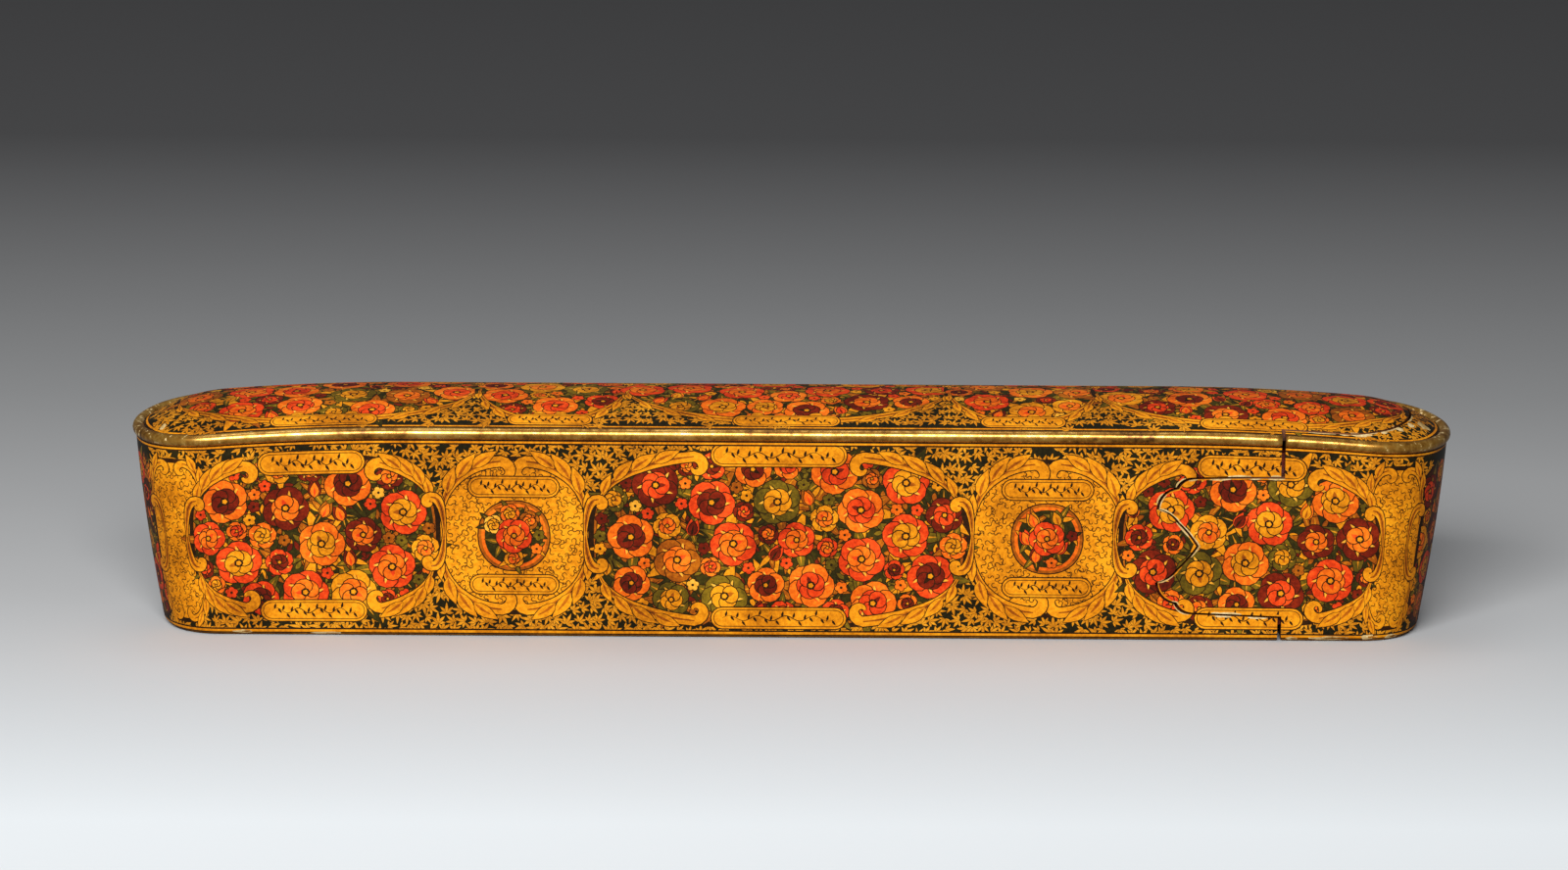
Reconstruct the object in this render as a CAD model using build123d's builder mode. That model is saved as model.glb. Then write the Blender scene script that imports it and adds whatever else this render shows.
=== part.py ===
"""Sliding pen box (qalamdan) of lacquered papier-mache, with its drawer and writing set.

The sleeve is a long, slightly tapered case with rounded ends, a crowned top and a rod moulding
round its shoulder. The drawer slides out of its right end: a trough that carries a thick
head, whose scalloped side tongues and recessed deck lock into the mouth of the sleeve.

Frame: origin on the base, in the middle. X runs along the box towards the head, Z is up.
"""

import os
from math import asin, atan2, copysign, cos, degrees, pi, sin, sqrt

from build123d import *

# Case: the wall's outline at shoulder height, and how far it is drawn in at the foot
case_length = 238.2
case_width = 38.4
corner_radius = 14.5
nose_radius = 25.0
taper = 4.5
shoulder_height = 38.7
foot_chamfer = 1.2

# Shoulder line seen from the side: straight, then a bend that starts this far from the tip
bend_reach = 50.6
bend_radius = 437.0
tip_radius = 31.2
tip_turn = 45

# Moulding, a rod planed to flats, and the crowned top
bead_radius = 1.05
bead_flats = 8
bead_sink = 0.15
bead_rise = 0.35
crown_height = 3.9

# Walls of the sleeve, and the drawer's running clearance in it
wall = 2.3
floor_thickness = 2.3
roof_thickness = 2.6
running_gap = 0.35

# Parting between sleeve and head: upright cuts at the top and foot, a scalloped tongue between.
# Each point is (distance back from the upright cut, height above the tongue's middle), and its
# mirror image lies below the middle.
head_length = 30.1
cut_gap = 0.7
tongue_gap = 0.5
tongue_slack = 0.35
tongue_mid = 18.2
tongue_root_half = 13.3
tongue_neck = (16.3, 12.7)
lobe_cusp = (19.0, 10.8)
lobe_tip = (22.5, 7.0)
inner_cusp = (18.8, 4.5)
notch_back = 15.2
neck_bulge = 0.46
lobe_bulge = 0.97
hollow_bulge = 0.45
notch_bulge = 0.2

# Tongue of the sleeve's top, which lies over a recess of the head, set in from the case's edge
deck_drop = 1.1
lap_side_margin = 3.0
lap_end_margin = 6.7
lap_nose = 20.0
lap_root = 9.0

# Drawer trough
tray_wall = 1.5
tray_floor = 1.5
tray_rim_drop = 3.3

# Cross wall that keeps the inkwell at the head end
partition_thickness = 1.5
partition_height = 20.0

# Inkwell: a brass box with a soldered top plate and neck, and a lift-off lid
well_length = 31.0
well_side_gap = 1.9
well_height = 19.0
well_corner = 5.0
well_wall = 1.2
well_foot_chamfer = 0.8
well_gap = 1.5
plate_thickness = 1.2
plate_lip = 0.5
neck_share = 0.357
neck_height = 2.6
neck_wall = 1.2
lid_gap = 0.15
lid_wall = 0.8
lid_skirt = 2.4
lid_cone = 1.9
knob_radius = 1.7
knob_height = 2.6
knob_stem_radius = 0.9
knob_stem_height = 0.8

# Writing set: everything lies this far from what carries it, and from its neighbour on the floor.
# Its pieces are as thick as shares of the trough's width, and lie between the trough's left end and
# the cross wall, each with a gap at both ends.
seat_gap = 0.15
side_gap = 0.3

# Reed pens
pen_radius_shares = (0.141, 0.137, 0.126)
pen_start_gaps = (12.0, 6.0, 15.0)
pen_end_gaps = (20.0, 19.0, 22.0)
pen_wall = 1.3
reed_node_depth = 9.0
nib_length = 17.0
nib_reach = 8.0
nib_width = 2.6
nib_thickness = 0.9
nib_slant = 0.7
slit_length = 9.0
slit_width = 0.25

# Penknife
knife_start_gap = 14.0
knife_end_gap = 23.0
handle_flats = 8
handle_radius_share = 0.16
handle_bulb_share = 0.66
handle_end_share = 0.62
handle_neck_share = 0.74
ferrule_length = 7.0
ferrule_share = 0.81
ferrule_chamfer = 0.4
blade_length = 37.0
blade_thickness = 1.3
blade_edge = 0.3
blade_bevel = 3.2
blade_heel_height = 4.4
blade_belly_sag = 1.1

# Nib rest: a strip of bone, standing on its edge beside the knife
rest_start_gap = 19.0
rest_end_gap = 56.0
rest_height = 8.6
rest_thickness = 1.8
rest_corner = 3.0
ridge_end_gap = 13.0
ridge_length = 9.0
ridge_height = 4.0
ridge_corner = 1.0
ridge_proud = 0.5

# Water spoon
spoon_start_gap = 46.5
spoon_end_gap = 4.5
stem_radius = 1.2
stem_chamfer = 0.4
bowl_radius = 6.0
bowl_depth = 3.6
bowl_wall = 0.7

# One overrun for every cut that has to run past a face
overrun = 12.0

# Insets of the drawer from the case's outer wall, and the levels it is built between
tray_inset = wall + running_gap
trough_inset = tray_inset + tray_wall
tray_base = floor_thickness + running_gap
trough_floor = tray_base + tray_floor
block_top = shoulder_height + crown_height + 2 * bead_radius

# Places along the box that follow from its length, and heights that follow from the shoulder
flat_reach = case_length / 2 - bend_reach
cut_x = case_length / 2 - head_length
deck_height = shoulder_height - deck_drop
tray_rim_height = shoulder_height - tray_rim_drop
partition_x = cut_x - tray_wall - 2 * well_gap - well_length - partition_thickness


def outline_at(level, inset):
    """Half length, half width, corner radius and nose radius of the wall's outline at a height."""
    drawn_in = taper * (1 - level / shoulder_height) + inset
    return (case_length / 2 - drawn_in, case_width / 2 - drawn_in, corner_radius - drawn_in,
            nose_radius - drawn_in)


def end_arcs(half_length, half_width, corner, nose):
    """Where a rounded end starts, where its corner arc meets its nose arc, and the tangent there."""
    nose_x = half_length - nose
    start_x = nose_x + sqrt((nose - corner) ** 2 - (half_width - corner) ** 2)
    lean = Vector(start_x - nose_x, half_width - corner).normalized()
    return start_x, Vector(nose_x, 0) + lean * nose, Vector(lean.Y, -lean.X)


def rounded_outline(plane, half_length, half_width, corner, nose):
    """A long face with straight sides and rounded ends, each of two corner arcs and a nose arc."""
    start_x, meet, turn = end_arcs(half_length, half_width, corner, nose)
    with BuildSketch(plane) as face:
        with BuildLine() as outline:
            Line((0, half_width), (start_x, half_width))
            TangentArc((start_x, half_width), meet, tangent=(1, 0))
            TangentArc(meet, (half_length, 0), tangent=turn)
            mirror(outline.line, about=Plane.XZ)
            mirror(outline.line, about=Plane.YZ)
        make_face()
    return face.sketch


def wall_block(inset, low, high):
    """Solid block between two heights, whose walls lie inside the case's outer wall by the inset."""
    with BuildPart() as block:
        add(rounded_outline(Plane.XY.offset(low), *outline_at(low, inset)))
        add(rounded_outline(Plane.XY.offset(high), *outline_at(high, inset)))
        loft(ruled=True)
    return block.part


# Where the rounded ends start, and how far the shoulder line has turned down by then
end_x = end_arcs(*outline_at(shoulder_height, 0))[0]
full_turn = asin((end_x - flat_reach) / bend_radius)


def lengthwise_line(top, lowered):
    """The shoulder line from one rounded end to the other, lowered along its normals."""
    with BuildLine(Plane.XZ) as line:
        flat = Line((0, top - lowered), (flat_reach, top - lowered))
        JernArc(flat @ 1, flat % 1, bend_radius - lowered, -degrees(full_turn))
        mirror(line.line, about=Plane.YZ)
    return line.line


def crown_cutter(lowered):
    """Everything above the crowned top, with the top lowered along its normal."""
    crown_radius = ((case_width / 2) ** 2 + crown_height**2) / (2 * crown_height)
    with BuildLine(Plane.XZ) as line:
        crest = add(lengthwise_line(shoulder_height + bead_rise + crown_height, lowered))
        bend = crest.edges().sort_by(Axis.X)[-1]
        tip = JernArc(bend @ 1, bend % 1, tip_radius - lowered, -tip_turn)
        mirror(tip, about=Plane.YZ)
    path = Wire(line.edges())
    along = path % 0
    section = Plane(origin=path @ 0, x_dir=(0, copysign(1, along.X), 0), z_dir=along)
    radius = crown_radius - lowered
    reach = (case_width + overrun) / 2
    sag = sqrt(radius**2 - reach**2) - radius
    with BuildPart() as cutter:
        with BuildSketch(section):
            with BuildLine():
                ThreePointArc((-reach, sag), (0, 0), (reach, sag))
                Polyline((reach, sag), (reach, overrun), (-reach, overrun), (-reach, sag))
            make_face()
        sweep(path=path)
    return cutter.part


def rod_face(centre, outward, heading):
    """Section of the moulding at a place on its path, with one of its flats turned outwards."""
    with BuildSketch(Plane(origin=centre, x_dir=outward, z_dir=heading)) as section:
        RegularPolygon(bead_radius, bead_flats, rotation=degrees(pi / bead_flats))
    return section.sketch


def shoulder_ring():
    """Moulding that follows the shoulder: straight, bent down, and round each end in a falling plane."""
    half_length, half_width, corner, nose = outline_at(shoulder_height, bead_sink)
    nose_x = half_length - nose - end_x
    lean = atan2(half_width - corner, -nose_x)
    drop = bend_radius * (1 - cos(full_turn))
    falling = Plane(origin=(end_x, 0, shoulder_height - drop), x_dir=(cos(full_turn), 0, -sin(full_turn)),
                    z_dir=(sin(full_turn), 0, cos(full_turn)))
    straight_face = rod_face((0, half_width, shoulder_height), (0, 1, 0), (1, 0, 0))
    bend_face = rod_face((flat_reach, half_width, shoulder_height), (0, 1, 0), (1, 0, 0))
    corner_face = rod_face((0, half_width, 0), (0, 1, 0), (1, 0, 0))
    nose_face = rod_face((nose_x + nose * cos(lean), nose * sin(lean), 0), (cos(lean), sin(lean), 0),
                         (sin(lean), -cos(lean), 0))
    with BuildPart() as end:
        revolve(corner_face, axis=Axis((0, half_width - corner, 0), (0, 0, -1)),
                revolution_arc=degrees(pi / 2 - lean))
        revolve(nose_face, axis=Axis((nose_x, 0, 0), (0, 0, -1)), revolution_arc=degrees(lean))
    with BuildPart() as quarter:
        revolve(bend_face, axis=Axis((flat_reach, 0, shoulder_height - bend_radius), (0, 1, 0)),
                revolution_arc=degrees(full_turn))
        add(end.part.moved(falling.location))
        mirror(about=Plane.XZ)
    with BuildPart() as ring:
        extrude(straight_face, amount=flat_reach, both=True)
        mirror(about=Plane.XZ)
        add(quarter.part)
        mirror(quarter.part, about=Plane.YZ)
    return ring.part


def case_body():
    """The closed outer form: tapered walls, chamfered foot, crowned top and shoulder moulding."""
    with BuildPart() as body:
        add(rounded_outline(Plane.XY, *outline_at(0, foot_chamfer)))
        add(rounded_outline(Plane.XY.offset(foot_chamfer), *outline_at(foot_chamfer, 0)))
        add(rounded_outline(Plane.XY.offset(block_top), *outline_at(block_top, 0)))
        loft(ruled=True)
        add(crown_cutter(0), mode=Mode.SUBTRACT)
        add(shoulder_ring())
    return body.part


def parting_face(cut_back, gap, slack):
    """The head's side of the parting line, seen from the front; the sleeve's cut stands back."""
    root = (cut_x - cut_back, tongue_root_half + slack)
    neck = (cut_x - tongue_neck[0] - gap, tongue_neck[1] + slack)
    cusp = (cut_x - lobe_cusp[0] - gap, lobe_cusp[1] + slack)
    tip = (cut_x - lobe_tip[0] - gap, lobe_tip[1])
    inner = (cut_x - inner_cusp[0] - gap, inner_cusp[1])
    notch = (cut_x - notch_back - gap, 0)
    reach = shoulder_height + overrun
    with BuildSketch(Plane(origin=(0, 0, tongue_mid), x_dir=(1, 0, 0), z_dir=(0, -1, 0))) as face:
        with BuildLine() as line:
            SagittaArc(notch, inner, -notch_bulge)
            SagittaArc(inner, tip, -hollow_bulge)
            SagittaArc(tip, cusp, lobe_bulge)
            SagittaArc(cusp, neck, neck_bulge)
            Polyline(neck, root, (root[0], reach), (case_length, reach), (case_length, 0))
            mirror(line.line, about=Plane.XZ)
        make_face()
    return face.sketch


def lap_block(grown, base):
    """The tongue of the sleeve's top as an upright block that starts at a height."""
    outline = (case_length / 2 - lap_end_margin + grown, case_width / 2 - lap_side_margin + grown,
               corner_radius - lap_side_margin + grown, lap_nose + grown)
    with BuildPart() as block:
        with BuildSketch(Plane.XY.offset(base)):
            add(rounded_outline(Plane.XY, *outline))
            with Locations((cut_x - lap_root - grown, 0)):
                Rectangle(case_length, case_width, align=(Align.MIN, Align.CENTER),
                          mode=Mode.INTERSECT)
        extrude(amount=block_top)
    return block.part


def slab(start, end):
    """A slice of space across the whole case between two places along it."""
    with BuildPart() as space:
        with BuildSketch(Plane.YZ.offset(start)):
            Rectangle(2 * case_width, 2 * case_length)
        extrude(amount=end - start)
    return space.part


def perch(first, second, radius):
    """Centre (y, z) of a round rod that lies in the valley between two others (y, z, radius)."""
    base = Vector(second[0] - first[0], second[1] - first[1])
    reach = first[2] + radius + seat_gap
    other = second[2] + radius + seat_gap
    along = (reach**2 - other**2 + base.length**2) / (2 * base.length)
    step = base.normalized()
    spot = Vector(first[0], first[1]) + step * along + Vector(-step.Y, step.X) * sqrt(reach**2 - along**2)
    return spot.X, spot.Y


case = case_body()
lap = lap_block(0, deck_height)

# The sleeve: closed at the left, open at the right, with the scalloped mouth and the top tongue
with BuildPart() as hollow:
    add(wall_block(wall, floor_thickness, block_top))
    add(crown_cutter(roof_thickness), mode=Mode.SUBTRACT)
    add(lap, mode=Mode.SUBTRACT)

with BuildPart() as mouth_cut:
    extrude(parting_face(cut_gap, tongue_gap, tongue_slack), amount=case_width, both=True)
    add(lap, mode=Mode.SUBTRACT)

with BuildPart() as sleeve:
    add(case)
    add(hollow.part, mode=Mode.SUBTRACT)
    add(mouth_cut.part, mode=Mode.SUBTRACT)
sleeve.part.label = "sleeve"

# The drawer's head: solid, with a side tongue each side of the trough and a deck for the top tongue
with BuildPart() as trough_space:
    add(wall_block(tray_inset, 0, block_top))
    add(slab(-case_length, cut_x), mode=Mode.INTERSECT)

with BuildPart() as drawer_head:
    extrude(parting_face(0, 0, 0), amount=case_width, both=True)
    add(case, mode=Mode.INTERSECT)
    add(trough_space.part, mode=Mode.SUBTRACT)
    add(lap_block(tongue_gap, deck_height - tongue_slack), mode=Mode.SUBTRACT)
drawer_head.part.label = "drawer_head"

# The drawer's trough, pasted to the head's inner face and to the inner faces of its tongues
with BuildPart() as drawer_tray:
    add(wall_block(tray_inset, tray_base, tray_rim_height))
    add(crown_cutter(roof_thickness + running_gap), mode=Mode.SUBTRACT)
    add(slab(-case_length, cut_x), mode=Mode.INTERSECT)
    inside = wall_block(trough_inset, trough_floor, block_top) & slab(-case_length, cut_x - tray_wall)
    add(inside, mode=Mode.SUBTRACT)
drawer_tray.part.label = "drawer_tray"

with BuildPart() as tray_partition:
    add(wall_block(trough_inset, trough_floor, trough_floor + partition_height))
    add(slab(partition_x, partition_x + partition_thickness), mode=Mode.INTERSECT)
tray_partition.part.label = "tray_partition"

# Inkwell, between the cross wall and the head
trough_end, trough_half_width = outline_at(trough_floor, trough_inset)[:2]
well_width = 2 * (trough_half_width - well_side_gap)
neck_radius = well_width * neck_share
mouth_radius = neck_radius - neck_wall
well_x = partition_x + partition_thickness + well_gap + well_length / 2
well_base = trough_floor + seat_gap
plate_base = well_base + well_height
neck_top = plate_base + plate_thickness + neck_height

with BuildPart() as inkwell_body:
    with BuildSketch(Plane.XY.offset(well_base)):
        with Locations((well_x, 0)):
            RectangleRounded(well_length, well_width, well_corner)
    extrude(amount=well_height)
    chamfer(inkwell_body.faces().sort_by(Axis.Z)[0].edges(), well_foot_chamfer)
    with BuildSketch(Plane.XY.offset(well_base + well_wall)):
        with Locations((well_x, 0)):
            RectangleRounded(well_length - 2 * well_wall, well_width - 2 * well_wall,
                             well_corner - well_wall)
    extrude(amount=well_height, mode=Mode.SUBTRACT)
inkwell_body.part.label = "inkwell_body"

with BuildPart() as inkwell_top:
    with BuildSketch(Plane.XY.offset(plate_base)):
        with Locations((well_x, 0)):
            RectangleRounded(well_length + 2 * plate_lip, well_width + 2 * plate_lip,
                             well_corner + plate_lip)
    extrude(amount=plate_thickness)
    chamfer(inkwell_top.edges().group_by(Axis.Z)[-1], plate_lip)
    with BuildSketch(Plane.XY.offset(plate_base)):
        with Locations((well_x, 0)):
            Circle(neck_radius)
    extrude(amount=plate_thickness + neck_height)
    with Locations((well_x, 0, neck_top)):
        Hole(mouth_radius)
inkwell_top.part.label = "inkwell_top"

# The lid is turned: a skirt over the neck, a low cone and a bevelled knob on a short stem
skirt_radius = neck_radius + lid_gap + lid_wall
stem_base = lid_wall + lid_cone
stem_top = stem_base + knob_stem_height
knob_bevel = knob_radius - knob_stem_radius
lid_plane = Plane(origin=(well_x, 0, neck_top + seat_gap), x_dir=(1, 0, 0), z_dir=(0, -1, 0))

with BuildPart() as inkwell_lid:
    with BuildSketch(lid_plane):
        with BuildLine():
            Polyline((0, 0), (skirt_radius - lid_wall, 0), (skirt_radius - lid_wall, -lid_skirt),
                     (skirt_radius, -lid_skirt), (skirt_radius, lid_wall), (knob_stem_radius, stem_base),
                     (knob_stem_radius, stem_top), (knob_radius, stem_top + knob_bevel),
                     (knob_radius, stem_top + knob_height - knob_bevel),
                     (knob_stem_radius, stem_top + knob_height), (0, stem_top + knob_height), close=True)
        make_face()
    revolve(axis=Axis((well_x, 0, 0), (0, 0, 1)))
inkwell_lid.part.label = "inkwell_lid"

# Floor row of the writing set: two pens, the knife and the nib rest, from the back wall forwards
pen_radii = [share * 2 * trough_half_width for share in pen_radius_shares]
handle_radius = handle_radius_share * 2 * trough_half_width
first_z = trough_floor + seat_gap + pen_radii[0]
first_y = pen_radii[0] + side_gap - trough_half_width
second_z = trough_floor + seat_gap + pen_radii[1]
second_y = first_y + pen_radii[0] + side_gap + pen_radii[1]
knife_z = trough_floor + seat_gap + handle_radius
knife_y = second_y + pen_radii[1] + side_gap + handle_radius
first_pen = (first_y, first_z, pen_radii[0])
second_pen = (second_y, second_z, pen_radii[1])
third_pen = perch(first_pen, second_pen, pen_radii[2])
pen_spots = ((first_y, first_z), (second_y, second_z), third_pen)


def reed_pen(number):
    """A reed tube closed at its back joint, scooped to a flat nib with a slit at its right end."""
    radius = pen_radii[number]
    y, z = pen_spots[number]
    start = pen_start_gaps[number] - trough_end
    tip = partition_x - pen_end_gaps[number]
    with BuildPart() as pen:
        with BuildSketch(Plane(origin=(start, y, z), x_dir=(0, 1, 0), z_dir=(1, 0, 0))):
            Circle(radius)
        extrude(amount=tip - start)
        with BuildSketch(Plane(origin=(start + reed_node_depth, y, z), x_dir=(0, 1, 0), z_dir=(1, 0, 0))):
            Circle(radius - pen_wall)
        extrude(amount=tip - start, mode=Mode.SUBTRACT)
        with BuildSketch(Plane(origin=(tip, y, z), x_dir=(1, 0, 0), z_dir=(0, -1, 0))):
            with BuildLine():
                scoop = SagittaArc((-nib_length, radius), (-nib_reach, nib_thickness - radius), -nib_slant)
                Polyline(scoop @ 1, (overrun, nib_thickness - radius), (overrun, overrun),
                         (-nib_length, overrun), scoop @ 0)
            make_face()
        extrude(amount=2 * radius, both=True, mode=Mode.SUBTRACT)
        with BuildSketch(Plane.XY.offset(z)):
            with BuildLine():
                Polyline((tip - nib_reach, y + radius), (tip - nib_slant, y + nib_width / 2),
                         (tip + overrun, y + nib_width / 2), (tip + overrun, y + overrun),
                         (tip - nib_reach, y + overrun), close=True)
            make_face()
            mirror(about=Plane.XZ.offset(-y))
        extrude(amount=2 * radius, both=True, mode=Mode.SUBTRACT)
        with BuildSketch(Plane.XY.offset(z)):
            with Locations((tip, y)):
                Rectangle(2 * slit_length, slit_width)
        extrude(amount=2 * radius, both=True, mode=Mode.SUBTRACT)
    return pen.part


def rod_plane(x, y, z):
    """Plane of a lengthwise profile: local X runs along the box, local Y is up."""
    return Plane(origin=(x, y, z), x_dir=(1, 0, 0), z_dir=(0, -1, 0))


# Penknife: an eight-sided ebony handle that swells towards the blade, a brass ferrule and a steel blade
handle_start = knife_start_gap - trough_end
blade_x = partition_x - knife_end_gap - blade_length
ferrule_x = blade_x - ferrule_length
handle_length = ferrule_x - handle_start
ferrule_radius = handle_radius * ferrule_share
handle_sections = (
    (0, handle_end_share),
    (handle_length * handle_bulb_share, 1),
    (handle_length, handle_neck_share),
)

with BuildPart() as penknife_handle:
    for along, share in handle_sections:
        with BuildSketch(Plane(origin=(handle_start + along, knife_y, knife_z), x_dir=(0, 1, 0),
                               z_dir=(1, 0, 0))):
            RegularPolygon(handle_radius * share, handle_flats, rotation=degrees(pi / handle_flats))
    loft(ruled=True)
penknife_handle.part.label = "penknife_handle"

with BuildPart() as penknife_ferrule:
    with BuildSketch(Plane(origin=(ferrule_x, knife_y, knife_z), x_dir=(0, 1, 0), z_dir=(1, 0, 0))):
        Circle(ferrule_radius)
    extrude(amount=ferrule_length)
    chamfer(penknife_ferrule.edges().filter_by(GeomType.CIRCLE), ferrule_chamfer)
penknife_ferrule.part.label = "penknife_ferrule"

with BuildPart() as penknife_blade:
    with BuildSketch(rod_plane(blade_x, knife_y, knife_z)):
        with BuildLine():
            spine = Line((0, blade_heel_height / 2), (blade_length, 0))
            belly = SagittaArc((blade_length, 0), (0, -blade_heel_height / 2), blade_belly_sag)
            Line(belly @ 1, spine @ 0)
        make_face()
    extrude(amount=blade_thickness / 2, both=True)
    for side in (1, -1):
        with BuildSketch(Plane(origin=(blade_x, knife_y, knife_z - blade_heel_height / 2),
                               x_dir=(0, side, 0), z_dir=(side, 0, 0))):
            Polygon((blade_edge / 2, -blade_bevel), (blade_edge / 2, 0),
                    (blade_thickness / 2, blade_bevel), (blade_thickness, blade_bevel),
                    (blade_thickness, -blade_bevel), align=None)
        extrude(amount=side * blade_length, mode=Mode.SUBTRACT)
penknife_blade.part.label = "penknife_blade"

# Nib rest: the pen's nib is laid on its raised ridge to be cut
rest_y = trough_half_width - side_gap
rest_z = trough_floor + seat_gap
rest_start = rest_start_gap - trough_end
rest_length = partition_x - rest_end_gap - rest_start
ridge_start = rest_length - ridge_end_gap - ridge_length
with BuildPart() as nib_rest:
    with BuildSketch(rod_plane(rest_start, rest_y, rest_z)):
        with Locations((rest_length / 2, rest_height / 2)):
            RectangleRounded(rest_length, rest_height, rest_corner)
    extrude(amount=rest_thickness)
    with BuildSketch(rod_plane(rest_start + ridge_start, rest_y - rest_thickness, rest_z)):
        with Locations((ridge_length / 2, rest_height / 2)):
            RectangleRounded(ridge_length, ridge_height, ridge_corner)
    extrude(amount=ridge_proud)
nib_rest.part.label = "nib_rest"

# Water spoon: its stem lies in the valley between the second pen and the knife
stem_y, stem_z = perch(second_pen, (knife_y, knife_z, handle_radius), stem_radius)
bowl_x = partition_x - spoon_end_gap - bowl_radius
stem_x = bowl_x - bowl_radius + bowl_wall / 2
cup_radius = (bowl_radius**2 + bowl_depth**2) / (2 * bowl_depth)
hollow_depth = bowl_depth - bowl_wall
hollow_radius = ((bowl_radius - bowl_wall) ** 2 + hollow_depth**2) / (2 * hollow_depth)
with BuildPart() as water_spoon:
    with BuildSketch(rod_plane(bowl_x, stem_y, stem_z)):
        with BuildLine():
            outer = RadiusArc((0, -bowl_depth), (bowl_radius, 0), -cup_radius)
            lip = Line(outer @ 1, (bowl_radius - bowl_wall, 0))
            inner = RadiusArc(lip @ 1, (0, -hollow_depth), hollow_radius)
            Line(inner @ 1, outer @ 0)
        make_face()
    revolve(axis=Axis((bowl_x, stem_y, 0), (0, 0, 1)))
    with BuildSketch(Plane(origin=(stem_x, stem_y, stem_z), x_dir=(0, -1, 0), z_dir=(-1, 0, 0))):
        Circle(stem_radius)
    extrude(amount=stem_x + trough_end - spoon_start_gap)
    chamfer(water_spoon.faces().sort_by(Axis.X)[0].edges(), stem_chamfer)
water_spoon.part.label = "water_spoon"

os.makedirs("parts", exist_ok=True)
export_step(sleeve.part, "parts/sleeve.step")
export_step(drawer_head.part, "parts/drawer_head.step")
export_step(drawer_tray.part, "parts/drawer_tray.step")
export_step(tray_partition.part, "parts/tray_partition.step")
export_step(inkwell_body.part, "parts/inkwell_body.step")
export_step(inkwell_top.part, "parts/inkwell_top.step")
export_step(inkwell_lid.part, "parts/inkwell_lid.step")
export_step(penknife_handle.part, "parts/penknife_handle.step")
export_step(penknife_ferrule.part, "parts/penknife_ferrule.step")
export_step(penknife_blade.part, "parts/penknife_blade.step")
export_step(nib_rest.part, "parts/nib_rest.step")
export_step(water_spoon.part, "parts/water_spoon.step")
for number in range(len(pen_radii)):
    pen = reed_pen(number)
    pen.label = f"reed_pen_{number + 1}"
    export_step(pen, f"parts/{pen.label}.step")
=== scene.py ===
import math
import random

import bmesh
import bpy
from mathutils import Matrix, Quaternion, Vector, geometry


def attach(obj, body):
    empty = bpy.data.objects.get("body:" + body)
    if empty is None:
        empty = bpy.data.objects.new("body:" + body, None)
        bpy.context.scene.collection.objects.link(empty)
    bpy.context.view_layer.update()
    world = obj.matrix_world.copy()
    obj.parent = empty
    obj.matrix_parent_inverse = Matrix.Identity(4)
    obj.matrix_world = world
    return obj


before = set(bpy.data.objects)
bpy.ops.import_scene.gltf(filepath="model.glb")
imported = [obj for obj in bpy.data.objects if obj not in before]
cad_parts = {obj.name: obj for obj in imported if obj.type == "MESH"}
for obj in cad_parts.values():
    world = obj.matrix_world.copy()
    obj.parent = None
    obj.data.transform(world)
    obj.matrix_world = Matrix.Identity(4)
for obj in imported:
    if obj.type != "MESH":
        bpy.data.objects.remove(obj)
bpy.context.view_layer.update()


# Sleeve, drawer head and trough: paper pulp and pasted sheets built up on moulds. The cut faces at
# the parting, the inside of the sleeve and the trough are brushed with thin red-brown varnish, which
# leaves streaks along the box about a millimetre wide, and a low gloss. Lengths are in millimetres,
# and MM turns them to metres.
MM = 0.001
STREAK_WIDTH = 1.1
STREAK_PULL = 0.12
STREAK_DEPTH = 0.05


def linear(hex_code):
    """A colour written as sRGB hex, as the linear values that a shader takes."""
    parts = [int(hex_code[k:k + 2], 16) / 255 for k in (1, 3, 5)]
    return [c / 12.92 if c <= 0.04045 else ((c + 0.055) / 1.055) ** 2.4 for c in parts] + [1.0]


def node(tree, kind, inputs=(), stops=(), **settings):
    """Adds a shader node with its settings, a value or a link for each input, and a ramp's stops.

    A node given as an input is linked by its first output.
    """
    made = tree.nodes.new(kind)
    for name, value in settings.items():
        setattr(made, name, value)
    for name, value in dict(inputs).items():
        value = value.outputs[0] if isinstance(value, bpy.types.Node) else value
        if isinstance(value, bpy.types.NodeSocket):
            tree.links.new(value, made.inputs[name])
        else:
            made.inputs[name].default_value = value
    while stops and len(made.color_ramp.elements) < len(stops):
        made.color_ramp.elements.new(0.5)
    for k, (place, hex_code) in enumerate(stops):
        made.color_ramp.elements[k].position = place
        made.color_ramp.elements[k].color = linear(hex_code)
    return made


def surfaced(name, build):
    """A material whose shader is made by a function from the tree and the object's own place."""
    material = bpy.data.materials.new(name)
    material.use_nodes = True
    tree = material.node_tree
    tree.nodes.clear()
    shader = build(tree, node(tree, "ShaderNodeTexCoord").outputs["Object"])
    node(tree, "ShaderNodeOutputMaterial", {"Surface": shader})
    return material


def brushed_paper(name, light, mid, dark):
    """Paper under a thin brushed coat, in three tones along the brush's streaks."""

    def build(tree, place):
        stretched = node(tree, "ShaderNodeMapping", {"Vector": place, "Scale": (STREAK_PULL, 1, 1)})
        streaks = node(tree, "ShaderNodeTexNoise", {
            "Vector": stretched, "Scale": 1 / (STREAK_WIDTH * MM), "Detail": 4.0, "Roughness": 0.6})
        colour = node(tree, "ShaderNodeValToRGB", {"Fac": streaks}, (
            (0.32, dark), (0.5, mid), (0.68, light)))
        bump = node(tree, "ShaderNodeBump", {
            "Strength": 0.3, "Distance": STREAK_DEPTH * MM, "Height": streaks})
        return node(tree, "ShaderNodeBsdfPrincipled", {
            "Base Color": colour, "Roughness": 0.45, "Coat Weight": 0.3, "Coat Roughness": 0.25,
            "Normal": bump})

    return surfaced(name, build)


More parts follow.
